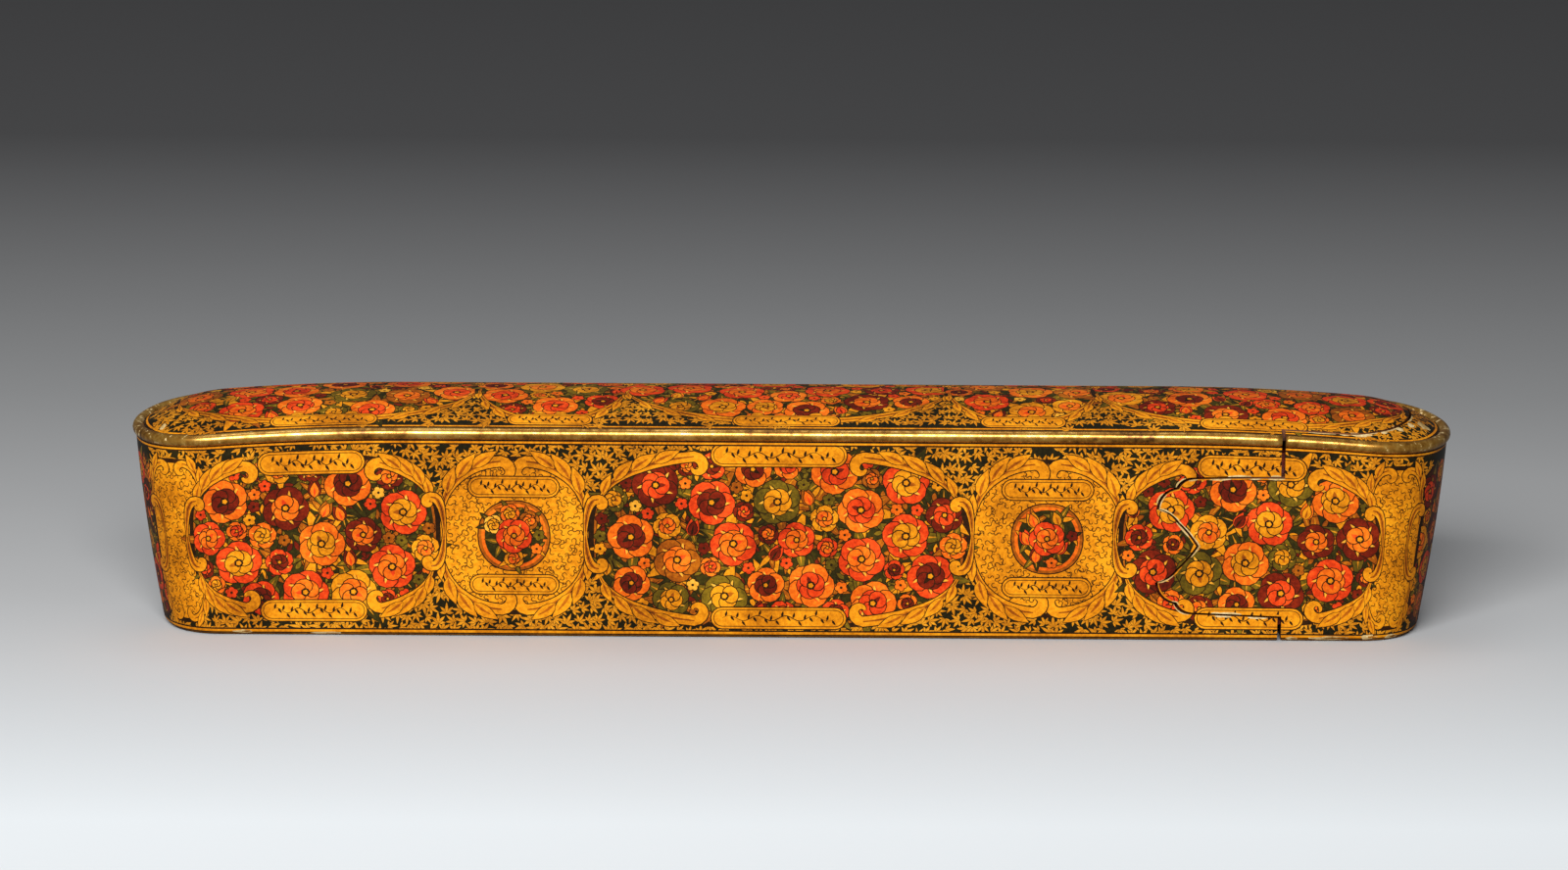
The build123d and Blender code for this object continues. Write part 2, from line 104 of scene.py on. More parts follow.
def dress(name, material):
    """Gives a CAD node one material in place of its own."""
    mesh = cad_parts[name].data
    mesh.materials.clear()
    mesh.materials.append(material)
    mesh.polygons.foreach_set("material_index", [0] * len(mesh.polygons))


core = brushed_paper("varnished_paper_core", "#7A4420", "#5A2E14", "#3A1E0C")
for name in ("sleeve", "drawer_head"):
    dress(name, core)
trough = brushed_paper("red_lacquered_trough", "#A03A1C", "#7E2614", "#5A1A10")
for name in ("drawer_tray", "tray_partition"):
    dress(name, trough)


# Varnished paint. Pigment and shell gold lie under amber varnish that has pooled and worn
# unevenly, so each colour drifts between a lit and a browned tone over 5 to 15 mm, and finer
# brush marks show at about 0.7 mm. The varnish gives a soft gloss with a slight orange peel.
DRIFT_SIZE = 9.0
BRUSH_SIZE = 0.7
PEEL_SIZE = 1.6
PEEL_DEPTH = 0.04
BRUSH_SHARE = 0.5


def varnished(name, light, mid, dark, metallic=0.0):
    """Paint under varnish: three tones of one colour, mixed by a broad drift and by brush marks."""

    def build(tree, place):
        marks = node(tree, "ShaderNodeTexNoise", {
            "Vector": place, "Scale": 1 / (BRUSH_SIZE * MM), "Detail": 4.0, "Roughness": 0.7})
        drift = node(tree, "ShaderNodeTexNoise", {
            "Vector": place, "Scale": 1 / (DRIFT_SIZE * MM), "Detail": 3.0, "Roughness": 0.6})
        peel = node(tree, "ShaderNodeTexNoise", {
            "Vector": place, "Scale": 1 / (PEEL_SIZE * MM), "Detail": 2.0, "Roughness": 0.6})
        tone = node(tree, "ShaderNodeMix", {0: BRUSH_SHARE, 2: drift, 3: marks}, data_type="FLOAT")
        colour = node(tree, "ShaderNodeValToRGB", {"Fac": tone}, ((0.36, dark), (0.5, mid), (0.62, light)))
        bump = node(tree, "ShaderNodeBump", {
            "Strength": 0.25, "Distance": PEEL_DEPTH * MM, "Height": peel})
        return node(tree, "ShaderNodeBsdfPrincipled", {
            "Base Color": colour, "Metallic": metallic, "Roughness": 0.5, "Specular IOR Level": 0.1,
            "Coat Weight": 0.22, "Coat Roughness": 0.1, "Coat IOR": 1.45, "Normal": bump})

    return surfaced(name, build)


PAINTS = {
    "ground": varnished("bone_black_paint", "#2C240A", "#1C1706", "#110E04"),
    "gold": varnished("shell_gold_paint", "#FBA81A", "#E38A0E", "#AC6206", 0.1),
    "gold_shade": varnished("browned_gold_paint", "#CC7010", "#A4520A", "#703406", 0.1),
    "vine": varnished("vine_gold_paint", "#EEA022", "#D28212", "#9C5A08", 0.1),
    "line": varnished("brown_outline_paint", "#3A1E08", "#261404", "#180C03"),
    "fine_line": varnished("fine_outline_paint", "#5C3208", "#462806", "#301A04"),
    "red": varnished("vermilion_paint", "#F4581A", "#DC3C0E", "#A02406"),
    "orange": varnished("orange_paint", "#F8861C", "#E6660E", "#B84406"),
    "crimson": varnished("crimson_lake_paint", "#8C260A", "#681806", "#441004"),
    "olive": varnished("olive_paint", "#8A6C14", "#644E0C", "#403208"),
    "deep_olive": varnished("deep_olive_paint", "#443A0C", "#2E2808", "#1C1905"),
    "cream": varnished("cream_paint", "#F8BC44", "#E8A22C", "#BC7816"),
    "end": varnished("red_brown_paint", "#5A2A10", "#421C0A", "#2A1206"),
    "band": varnished("brown_gold_band_paint", "#CC8420", "#9A5E14", "#683C0C", 0.15),
    "gesso": varnished("bared_gesso", "#EBD3A0", "#CCAC70", "#98753F"),
}


# Drawing kit for the painter. A sheet is one unrolled side of the box, drawn in millimetres.
# Each shape is a paint and an outline, and a later shape covers an earlier one.
LINE_WIDTH = 0.22


def turned_ccw(points):
    """The outline, run anticlockwise."""
    area = sum(a[0] * b[1] - b[0] * a[1] for a, b in zip(points, points[1:] + points[:1]))
    return points if area > 0 else points[::-1]


def oval(cx, cy, rx, ry, count=24, power=2.0):
    """A closed oval; a power over 2 squares it off."""
    points = []
    for k in range(count):
        c, s = math.cos(math.tau * k / count), math.sin(math.tau * k / count)
        points.append((cx + rx * math.copysign(abs(c) ** (2 / power), c),
                       cy + ry * math.copysign(abs(s) ** (2 / power), s)))
    return points


def in_oval(x, y, cx, cy, rx, ry, power=2.0):
    """Whether a place lies inside an oval."""
    return abs((x - cx) / rx) ** power + abs((y - cy) / ry) ** power < 1


def stroke(points, width, start=0.25, end=0.25):
    """Outline of a brush stroke along a curve, full in the middle and tapered at its ends."""
    left, right = [], []
    last = len(points) - 1
    for k, (x, y) in enumerate(points):
        ax, ay = points[max(k - 1, 0)]
        bx, by = points[min(k + 1, last)]
        length = math.dist((ax, ay), (bx, by)) or 1
        near = min(1, 3 * k / last, 3 * (last - k) / last)
        taper = (start if k < last / 2 else end) * (1 - near) + near
        half = width / 2 * taper
        left.append((x - (by - ay) / length * half, y + (bx - ax) / length * half))
        right.append((x + (by - ay) / length * half, y - (bx - ax) / length * half))
    return left + right[::-1]


def leaf(x, y, angle, length, width, bend=0.0, grow=0.0, steps=5):
    """A pointed leaf from its foot: bend curves its tip to one side, grow widens it for an outline."""
    sides = ([], [])
    for k in range(steps + 1):
        share = k / steps
        along = share * (length + 1.4 * grow) - 0.4 * grow
        swell = (width / 2) * math.sin(math.pi * share**0.8) + grow * (1 - (2 * share - 1) ** 4)
        for sign, side in ((1, sides[0]), (-1, sides[1])):
            off = bend * length * share**2 + sign * swell
            side.append((x + along * math.cos(angle) - off * math.sin(angle),
                         y + along * math.sin(angle) + off * math.cos(angle)))
    return sides[0][:-1] + sides[1][:0:-1]


def arc(cx, cy, radius, start, sweep, count=10, pinch=1.0):
    """Points of an arc; a pinch under 1 winds it in as a spiral."""
    return [(cx + radius * pinch ** (k / count) * math.cos(start + sweep * k / count),
             cy + radius * pinch ** (k / count) * math.sin(start + sweep * k / count))
            for k in range(count + 1)]


class Sheet:
    """Shapes drawn on one unrolled side, in the order they are painted."""

    def __init__(self):
        self.shapes = []

    def draw(self, paint, points):
        """Adds one shape of one paint."""
        self.shapes.append((paint, turned_ccw([tuple(p) for p in points])))

    def rings(self, cx, cy, rx, ry, count, power, *rings):
        """Ovals one on another: each is a paint and how far it reaches past the given size."""
        for paint, grow in rings:
            self.draw(paint, oval(cx, cy, rx + grow, ry + grow, count, power))

    def leaf(self, paint, x, y, angle, length, width, bend=0.0, rib=None, outline="line"):
        """A leaf inked round, with a rib of another paint."""
        self.draw(outline, leaf(x, y, angle, length, width, bend, LINE_WIDTH * 0.7))
        self.draw(paint, leaf(x, y, angle, length, width, bend))
        if rib:
            self.draw(rib, leaf(x, y, angle, length * 0.75, width * 0.24, bend, 0, 4))

    def stroke(self, paint, points, width, start=0.25, end=0.25):
        """A brush stroke inked along both sides."""
        self.draw("line", stroke(points, width + 2 * LINE_WIDTH, start, end))
        self.draw(paint, stroke(points, width, start * 0.7, end * 0.7))


# Flowers that fill the medallions from edge to edge: open roses, tulips and small blossoms in
# vermilion, orange, gold and cream, each inked round, with dark and olive leaves behind them.
SHADES = {"red": "crimson", "orange": "red", "gold": "gold_shade", "cream": "gold", "crimson": "line",
          "gold_shade": "crimson", "olive": "deep_olive"}
LEAF_PAINTS = ("deep_olive", "olive", "olive", "gold_shade", "gold")
ROSE_SIZE = 2.1
BUD_SIZE = 1.4


def rose(sheet, x, y, radius, turn, outer, inner):
    """An open rose: a ring of broad petals, a smaller ring between them, and a heart."""
    count = 11 if radius > 2.8 else 8
    for ring, (size, reach, paint) in enumerate(((0.5, 0.52, outer), (0.34, 0.27, inner))):
        for k in range(5):
            angle = turn + math.tau * (k + 0.5 * ring) / 5
            cx, cy = x + radius * reach * math.cos(angle), y + radius * reach * math.sin(angle)
            for wide, colour in ((radius * size + LINE_WIDTH * 0.8, "line"), (radius * size, paint)):
                sheet.draw(colour, [(cx + wide * (0.95 * math.cos(a) * math.cos(angle)
                                                  - 1.12 * math.sin(a) * math.sin(angle)),
                                     cy + wide * (0.95 * math.cos(a) * math.sin(angle)
                                                  + 1.12 * math.sin(a) * math.cos(angle)))
                                    for a in (math.tau * j / count for j in range(count))])
            shade_length = radius * (reach + 0.5 * size)
            sheet.draw(SHADES[paint], leaf(x, y, angle, shade_length, radius * 0.62 * size, 0.08, 0, 3))
            if ring == 0 and radius > 2.2:
                sheet.draw("cream", leaf(cx, cy, angle + 0.9, radius * 0.3, radius * 0.12, -0.35, 0, 3))
    sheet.draw("line", oval(x, y, radius * 0.2, radius * 0.2, 7))
    sheet.draw("gold", oval(x, y, radius * 0.12, radius * 0.12, 5))


def blossom(sheet, x, y, radius, turn, paint):
    """A small flower of five round petals."""
    for grow, colour in ((LINE_WIDTH * 0.7, "line"), (0.0, paint)):
        for k in range(5):
            angle = turn + math.tau * k / 5
            cx, cy = x + radius * 0.55 * math.cos(angle), y + radius * 0.55 * math.sin(angle)
            sheet.draw(colour, oval(cx, cy, radius * 0.42 + grow, radius * 0.42 + grow, 7))
    sheet.draw("line", oval(x, y, radius * 0.24, radius * 0.24, 5))


def tulip(sheet, x, y, size, angle, outer, inner):
    """A tulip seen from the side: two back petals and a front petal with a flame mark."""
    for lean, paint, long in ((0.34, outer, 1.0), (-0.34, outer, 1.0), (0.0, inner, 0.9)):
        sheet.leaf(paint, x, y, angle + lean, size * long, size * 0.5, -lean * 0.5, SHADES[paint])


def flower_field(sheet, cx, cy, rx, ry, power, seed, sizes, tries=260):
    """Fills an oval with flowers that don't overlap much, the largest first, over a bed of leaves."""
    rng = random.Random(seed)
    flowers = []
    for size in sizes:
        for _ in range(tries):
            x, y = cx + rx * rng.uniform(-1, 1), cy + ry * rng.uniform(-1, 1)
            room = all(math.dist((x, y), (fx, fy)) > 0.97 * (size + other) for fx, fy, other in flowers)
            if room and in_oval(x, y, cx, cy, rx - 0.7 * size, ry - 0.7 * size, power):
                flowers.append((x, y, size))
    for x, y, size in flowers:
        turn = rng.uniform(0, math.tau)
        for k in range(5 if size > 1.6 else 3):
            sheet.leaf(rng.choice(LEAF_PAINTS), x, y, turn + k * 1.35 + rng.uniform(-0.3, 0.3),
                       size * rng.uniform(1.45, 1.9), size * 0.5, rng.uniform(-0.15, 0.15), "vine")
    for x, y, size in flowers:
        turn = rng.uniform(0, math.tau)
        outer, inner = rng.choice((
            ("red", "orange"), ("red", "orange"), ("orange", "red"), ("red", "crimson"), ("crimson", "red"),
            ("gold", "orange"), ("cream" if size < 2 else "red", "gold"), ("orange", "gold"),
            ("gold_shade", "orange"), ("orange", "crimson"), ("crimson", "orange"), ("olive", "gold")))
        if size > ROSE_SIZE:
            rose(sheet, x, y, size, turn, outer, inner)
        elif size > BUD_SIZE:
            if rng.random() < 0.5:
                tulip(sheet, x, y - size * 0.6, size * 1.7, rng.uniform(0.9, 2.2), outer, inner)
            else:
                rose(sheet, x, y, size, turn, outer, inner)
        else:
            blossom(sheet, x, y, size, turn, outer)


# Scroll frames round the medallions: heavy acanthus scrolls in shell gold, browned on one side
# and inked round, with a curl at each end, and C-shaped brackets where two frames meet.
def scroll(sheet, points, width, curl, side):
    """A gold scroll along a curve, with a curl at its far end."""
    (ax, ay), (bx, by) = points[-2], points[-1]
    heading = math.atan2(by - ay, bx - ax)
    cx, cy = bx - side * curl * math.sin(heading), by + side * curl * math.cos(heading)
    tail = arc(cx, cy, curl, math.atan2(by - cy, bx - cx), side * 4.6, 11, 0.3)
    sheet.stroke("gold", points + tail[1:], width, 0.35, 0.3)
    sheet.draw("gold_shade", stroke(points, width * 0.4, 0.2, 0.3))
    sheet.draw("line", stroke(points, LINE_WIDTH * 0.6, 0.3, 0.3))


def quarter(cx, cy, rx, ry, power, start, stop, count):
    """Points of a squared oval between two shares of a quarter turn, in the upper right quarter."""
    points = []
    for k in range(count + 1):
        angle = math.pi / 2 * (start + (stop - start) * k / count)
        points.append((cx + rx * math.cos(angle) ** (2 / power),
                       cy + ry * math.sin(angle) ** (2 / power)))
    return points


def frame_round(sheet, cx, cy, rx, ry, power, width, start, stop, leaves):
    """Four leafy scrolls round a field, mirrored in both directions."""
    for flip_x in (1, -1):
        for flip_y in (1, -1):
            points = [(cx + flip_x * (x - cx), cy + flip_y * (y - cy))
                      for x, y in quarter(cx, cy, rx, ry, power, start, stop, 14)]
            side = flip_x * flip_y
            scroll(sheet, points, width, width * 1.1, side)
            for k in range(1, 12, leaves):
                (ax, ay), (bx, by) = points[k], points[k + 1]
                size = width * (1.0 + 0.5 * math.sin(math.pi * k / 14))
                sheet.leaf("gold", ax, ay, math.atan2(by - ay, bx - ax) - side * 0.42, size * 1.9,
                           size * 0.8, side * 0.2, "gold_shade")


def bracket(sheet, x, y, height, bulge, width, side):
    """A C-shaped bracket that bulges sideways, curled in at both ends."""
    for flip in (1, -1):
        points = [(x + side * bulge * math.cos(math.pi / 2 * k / 8) ** 0.7,
                   y + flip * height * math.sin(math.pi / 2 * k / 8)) for k in range(9)]
        scroll(sheet, points, width, 0.95, side * flip)


def plaque(sheet, cx, cy, half_length, half_height):
    """A gold plaque with a brown line round it and a small running vine of leaves."""
    for grow, paint in ((LINE_WIDTH, "line"), (0.0, "gold"), (-0.35, "fine_line"), (-0.5, "gold")):
        rx, ry = half_length + grow, half_height + grow
        end = [(cx + rx - ry * (1 - math.cos(a)), cy + ry * math.sin(a))
               for a in (math.pi * (k / 8 - 0.5) for k in range(9))]
        sheet.draw(paint, end + [(2 * cx - x, y) for x, y in reversed(end)])
    reach = half_length - half_height
    wave = [(cx - reach + 2 * reach * k / 40, cy + half_height * 0.25 * math.sin(math.tau * k / 10))
            for k in range(41)]
    sheet.draw("line", stroke(wave, LINE_WIDTH * 0.8))
    for k in range(1, 40, 2):
        angle = 1.15 if k % 4 == 1 else -1.15
        sheet.draw("line", leaf(*wave[k], angle, half_height * 0.6, half_height * 0.24, 0.15, 0, 3))


# Fine grounds: gilt sprigs of five pointed leaves on black between the frames, and brown curls on
# gold, drawn with a hair brush. The real curls are finer than a render of the whole box can show, so
# these are drawn at the width and spacing that still show.
CURL_SPACING = 1.35
CURL_WIDTH = 0.19
SPRIG_LEAVES = ((1.35, 0.62), (-1.35, 0.62), (0.68, 0.85), (-0.68, 0.85), (0.0, 1.05))


def scattered(low, high, spacing, jitter, rng):
    """Places in staggered rows over a field, each shifted a little."""
    for row in range(int((high[1] - low[1]) / spacing) + 1):
        for column in range(int((high[0] - low[0]) / spacing) + 1):
            yield (low[0] + (column + 0.5 * (row % 2) + rng.uniform(-jitter, jitter)) * spacing,
                   low[1] + (row + rng.uniform(-jitter, jitter)) * spacing)


def vine_ground(sheet, low, high, allowed, spacing, seed):
    """Covers a field with sprigs of five leaves, each edged in black, wherever the test allows it."""
    rng = random.Random(seed)
    for x, y in scattered(low, high, spacing, 0.2, rng):
        if not allowed(x, y):
            continue
        flow = 1.9 * math.sin(x * 0.31 + 0.9 * math.sin(y * 0.4)) + 1.3 * math.cos(y * 0.55 - x * 0.17)
        flow += rng.uniform(-0.5, 0.5)
        size = spacing * rng.uniform(0.85, 1.1)
        x, y = x - 0.4 * size * math.cos(flow), y - 0.4 * size * math.sin(flow)
        for lean, long in SPRIG_LEAVES:
            for paint, grow in (("ground", 0.07), ("vine", 0.0)):
                sheet.draw(paint, leaf(x, y, flow + lean, size * long, size * 0.27, lean * 0.14, grow, 4))


def curl_ground(sheet, low, high, allowed, spacing, seed):
    """Covers a gold field with fine brown curls, each turning one way and back the other."""
    rng = random.Random(seed)
    for x, y in scattered(low, high, spacing, 0.2, rng):
        if allowed(x, y):
            turn, start = rng.choice((1, -1)) * rng.uniform(2.6, 4.6), rng.uniform(0, math.tau)
            radius = spacing * rng.uniform(0.2, 0.34)
            first = arc(x, y, radius, start, turn, 6)
            ex, ey = first[-1]
            second = arc(2 * ex - x, 2 * ey - y, radius, start + turn + math.pi, -turn, 6, 0.7)
            sheet.draw("fine_line", stroke(first + second[1:], CURL_WIDTH, 0.6, 0.6))


def patch(sheet, paint, x, y, rx, ry, seed):
    """A chip with a ragged edge."""
    rng = random.Random(seed)
    sheet.draw(paint, [(x + rx * rng.uniform(0.55, 1.1) * math.cos(math.tau * k / 11),
                        y + ry * rng.uniform(0.55, 1.1) * math.sin(math.tau * k / 11)) for k in range(11)])


# The case's walls, which carry the painting: a long cone with round ends, drawn in towards the
# foot, on gesso over papier-mache. The ends swell a little between shoulder and foot, where wet
# paper was pressed round the mould.
CASE_LENGTH = 238.2
CASE_WIDTH = 38.4
CORNER_RADIUS = 14.5
NOSE_RADIUS = 25.0
TAPER = 4.5
SHOULDER_HEIGHT = 38.7
FOOT_ROUND = 1.2
FLAT_REACH = CASE_LENGTH / 2 - 50.6
BEND_RADIUS = 437.0
END_SWELL = 0.85
SWELL_TURN = 2.35

NOSE_X = CASE_LENGTH / 2 - NOSE_RADIUS
START_X = NOSE_X + math.sqrt((NOSE_RADIUS - CORNER_RADIUS) ** 2 - (CASE_WIDTH / 2 - CORNER_RADIUS) ** 2)
LEAN = math.atan2(CASE_WIDTH / 2 - CORNER_RADIUS, START_X - NOSE_X)
CORNER_END = START_X + CORNER_RADIUS * (math.pi / 2 - LEAN)
STRIP_END = CORNER_END + NOSE_RADIUS * LEAN
FULL_TURN = math.asin((START_X - FLAT_REACH) / BEND_RADIUS)


def shoulder_line(x):
    """Height of the moulding's centre line at a place along the box."""
    along = min(abs(x), START_X)
    if along <= FLAT_REACH:
        return SHOULDER_HEIGHT
    height = SHOULDER_HEIGHT - BEND_RADIUS + math.sqrt(BEND_RADIUS**2 - (along - FLAT_REACH) ** 2)
    return height - (abs(x) - along) * math.tan(FULL_TURN)


def outline_point(u, level, inset):
    """Place on the wall's outline at a height: u is the distance round it from mid front."""
    drawn_in = TAPER * (1 - level / SHOULDER_HEIGHT) + inset
    along = abs(u)
    if along <= START_X:
        x, y = along, drawn_in - CASE_WIDTH / 2
    elif along <= CORNER_END:
        turn = (along - START_X) / CORNER_RADIUS
        reach = CORNER_RADIUS - drawn_in
        x = START_X + reach * math.sin(turn)
        y = CORNER_RADIUS - CASE_WIDTH / 2 - reach * math.cos(turn)
    else:
        turn = LEAN * (1 - (along - CORNER_END) / (STRIP_END - CORNER_END))
        x = NOSE_X + (NOSE_RADIUS - drawn_in) * math.cos(turn)
        y = (drawn_in - NOSE_RADIUS) * math.sin(turn)
    return math.copysign(x, u), y


def wall_place(u, v, side, proud):
    """Point of the painted wall: u runs round it, v is the height where the shoulder is level."""
    x = outline_point(u, v, 0)[0]
    level = v * shoulder_line(x) / SHOULDER_HEIGHT
    round_end = min(1, max(0, (abs(u) - START_X) / (CORNER_END - START_X)))
    swell = END_SWELL * math.sin(SWELL_TURN * v / SHOULDER_HEIGHT)
    inset = -proud - swell * round_end**2 * (3 - 2 * round_end)
    if level < FOOT_ROUND:
        inset += FOOT_ROUND - math.sqrt(FOOT_ROUND**2 - (FOOT_ROUND - level) ** 2)
    x, y = outline_point(u, level, inset)
    return Vector((x, side * y, level)) * MM


# Layout of the wall, front and back alike: a large flower medallion each side, a larger one in the
# middle, and two small gold ones with an oval between them. A medallion is written as the place of
# its middle and its half sizes, an end field as middle, half length and half height.
WALL_MIDDLE = 18.6
LARGE_MEDALLIONS = ((-86.2, 19.3, 22.3, 14.8), (-2.0, 19.0, 33.4, 16.2), (83.1, 18.7, 23.0, 15.0))
SMALL_MEDALLIONS = ((-49.8, 19.4, 13.4, 14.2), (46.4, 19.4, 13.6, 14.2))
END_FIELDS = ((-112.4, 6.2, 15.6), (110.2, 6.0, 15.6))
LARGE_POWER = 3.0
SMALL_POWER = 2.5
PLAQUES = ((9.6, 33.4, 4.9), (12.2, 35.0, 3.9), (9.8, 33.3, 4.4))  # half length, two heights
GOLD_LINE = (36.95, 37.3)
WALL_TOP = 38.0
FOOT_LINE = (0.75, 1.25)
FOOT_BAND = 0.5
WALL_LOW = 0.12
WALL_SIZES = (4.3,) * 3 + (3.4,) * 6 + (2.6,) * 12 + (1.9,) * 26 + (1.2,) * 60
VINE_SPACING = 1.95
GROUND_REACH = 119.0
FRAME_EDGE = 0.9
PICTURE_HALF = (6.4, 6.6)
PICTURE_POWER = 2.2
PICTURE_SIZES = (1.8,) * 8 + (1.1,) * 14
SMALL_PLAQUES = ((9.3, 8.2, 1.9), (-9.3, 8.0, 1.8))  # height from the middle, half sizes
END_POWER = 4.0
END_PICTURE = (18.6, 16.8)
END_FLOWERS = (9.4, 15.6)
END_SIZES = (3.4,) * 4 + (2.4,) * 6 + (1.7,) * 14 + (1.1,) * 20
# Chips along the foot: place, half sizes and the seed of the ragged edge.
FOOT_CHIPS = ((98.0, 0.7, 4.2, 0.5, 1), (105.5, 1.0, 2.4, 0.6, 2), (-99.0, 0.8, 2.0, 0.4, 3),
              (91.0, 0.6, 1.5, 0.4, 4), (-84.0, 0.5, 3.0, 0.3, 5), (112.0, 0.8, 2.2, 0.5, 6))


def flower_medallion(sheet, cx, cy, rx, ry, power, seed, sizes, width, start, stop, leaves):
    """A field filled with flowers, inside a scroll frame."""
    sheet.rings(cx, cy, rx, ry, 56, power,
                ("line", FRAME_EDGE), ("gold_shade", 0.0), ("deep_olive", -0.4))
    rng = random.Random(seed)
    for x, y in scattered((cx - rx, cy - ry), (cx + rx, cy + ry), 1.7, 0.4, rng):
        if in_oval(x, y, cx, cy, rx - 1.0, ry - 1.0, power):
            paint = rng.choice(("olive", "olive", "gold_shade", "gold_shade", "gold", "crimson"))
            sheet.leaf(paint, x, y, rng.uniform(0, math.tau), 1.9, 0.85, 0.15)
    flower_field(sheet, cx, cy, rx, ry, power, seed, sizes)
    frame_round(sheet, cx, cy, rx, ry, power, width, start, stop, leaves)


def gold_medallion(sheet, cx, cy, rx, ry, seed):
    """A gold field of fine curls with an oval flower picture in its middle, and a lobed frame."""
    sheet.rings(cx, cy, rx, ry, 48, SMALL_POWER, ("line", FRAME_EDGE), ("gold", 0.0))
    oval_x, oval_y = PICTURE_HALF
    curl_ground(sheet, (cx - rx, cy - ry), (cx + rx, cy + ry),
                lambda x, y: in_oval(x, y, cx, cy, rx - 0.6, ry - 0.6, SMALL_POWER)
                and not in_oval(x, y, cx, cy, oval_x + 0.3, oval_y + 0.3)
                and not (abs(x - cx) < 8.0 and 8.0 < abs(y - cy) < 11.2), CURL_SPACING, seed)
    sheet.rings(cx, cy, oval_x, oval_y, 32, PICTURE_POWER,
                ("line", LINE_WIDTH), ("gold_shade", 0.0), ("orange", -0.5), ("deep_olive", -1.1))
    flower_field(sheet, cx, cy, oval_x - 0.9, oval_y - 0.9, PICTURE_POWER, seed, PICTURE_SIZES)
    rose(sheet, cx, cy, 3.3, seed, "red", "orange")
    frame_round(sheet, cx, cy, rx, ry, SMALL_POWER, 2.0, 0.08, 0.93, 3)
    for rise, half_length, half_height in SMALL_PLAQUES:
        plaque(sheet, cx, cy + rise, half_length, half_height)


def wall_is_ground(x, y):
    """Whether a place on the wall may hold a sprig: frames drawn later cover those at the edges."""
    fields = [(cx, cy, rx, ry, LARGE_POWER) for cx, cy, rx, ry in LARGE_MEDALLIONS]
    fields += [(cx, cy, rx, ry, SMALL_POWER) for cx, cy, rx, ry in SMALL_MEDALLIONS]
    fields += [(cx, WALL_MIDDLE, rx, ry, END_POWER) for cx, rx, ry in END_FIELDS]
    return (FOOT_LINE[1] < y < GOLD_LINE[0] and abs(x) < GROUND_REACH
            and not any(in_oval(x, y, cx, cy, rx - 0.8, ry - 0.8, power)
                        for cx, cy, rx, ry, power in fields))


def worn_and_highlit_edge(sheet, line, share, seed):
    """Pale strokes on an edge: rubbed paint that shows gesso or gold, and painted highlight on the cut
    edge.
    """
    rng = random.Random(seed)
    k = 0
    while k < len(line) - 3:
        run = rng.randint(2, 6)
        if rng.random() < share:
            rubbed_and_highlit_stroke = stroke(line[k:k + run + 2], rng.uniform(0.4, 0.7), 0.4, 0.4)
            sheet.draw(rng.choice(("gesso", "gesso", "gold")), rubbed_and_highlit_stroke)
        k += run


def wall_sheet(worn_and_highlit_lines):
    """The whole wall from tip to tip."""
    sheet = Sheet()
    reach = STRIP_END + 2

    def band(paint, low, high):
        sheet.draw(paint, [(-reach, low), (reach, low), (reach, high), (-reach, high)])

    vine_ground(sheet, (-GROUND_REACH, 1.6), (GROUND_REACH, 37.2), wall_is_ground, VINE_SPACING, 5)
    for sign in (1, -1):
        sheet.rings(sign * (STRIP_END + 2), WALL_MIDDLE, *END_PICTURE, 40, END_POWER,
                    ("line", 0.5), ("end", 0.0))
        flower_field(sheet, sign * (STRIP_END - 7), WALL_MIDDLE, *END_FLOWERS, END_POWER, 60 + sign,
                     END_SIZES)
    for cx, rx, ry in END_FIELDS:
        side = math.copysign(1, cx)
        sheet.rings(cx, WALL_MIDDLE, rx, ry, 40, END_POWER, ("line", FRAME_EDGE), ("gold", 0.0))
        curl_ground(sheet, (cx - rx, WALL_MIDDLE - ry), (cx + rx, WALL_MIDDLE + ry),
                    lambda x, y: in_oval(x, y, cx, WALL_MIDDLE, rx - 0.5, ry - 0.5, END_POWER),
                    CURL_SPACING, 9)
        frame_round(sheet, cx, WALL_MIDDLE, rx, ry, END_POWER, 1.3, 0.05, 0.9, 4)
        bracket(sheet, cx + side * (rx - 0.2), WALL_MIDDLE + 0.8, 7.0, 2.6, 1.5, -side)
    for k, (cx, cy, rx, ry) in enumerate(SMALL_MEDALLIONS):
        gold_medallion(sheet, cx, cy, rx, ry, 21 + k)
    for k, (cx, cy, rx, ry) in enumerate(LARGE_MEDALLIONS):
        sizes = WALL_SIZES + WALL_SIZES[2:24] if k == 1 else WALL_SIZES
        stop = 0.8 if k == 1 else 0.73
        flower_medallion(sheet, cx, cy, rx, ry, LARGE_POWER, 31 + k, sizes, 1.9, 0.2, stop, 3)
        half_length, upper, lower = PLAQUES[k]
        plaque(sheet, cx, upper, half_length, 2.15)
        plaque(sheet, cx, lower, half_length, 2.0)
        for side in (1, -1):
            bracket(sheet, cx + side * (rx - 0.9), cy + 0.8, 6.6, 2.4, 1.75, side)
    for k, (line, share) in enumerate(worn_and_highlit_lines):
        worn_and_highlit_edge(sheet, line, share, 70 + k)
    band("line", GOLD_LINE[0] - 0.3, WALL_TOP)
    band("gold", *GOLD_LINE)
    band("line", WALL_LOW, FOOT_LINE[1] + 0.3)
    band("gold", *FOOT_LINE)
    band("band", WALL_LOW, FOOT_BAND)
    for x, y, rx, ry, seed in FOOT_CHIPS:
        patch(sheet, "gesso", x, y, rx, ry, seed)
        patch(sheet, "band", x + 0.3 * rx, y, rx * 0.6, ry * 0.5, seed + 40)
    return sheet


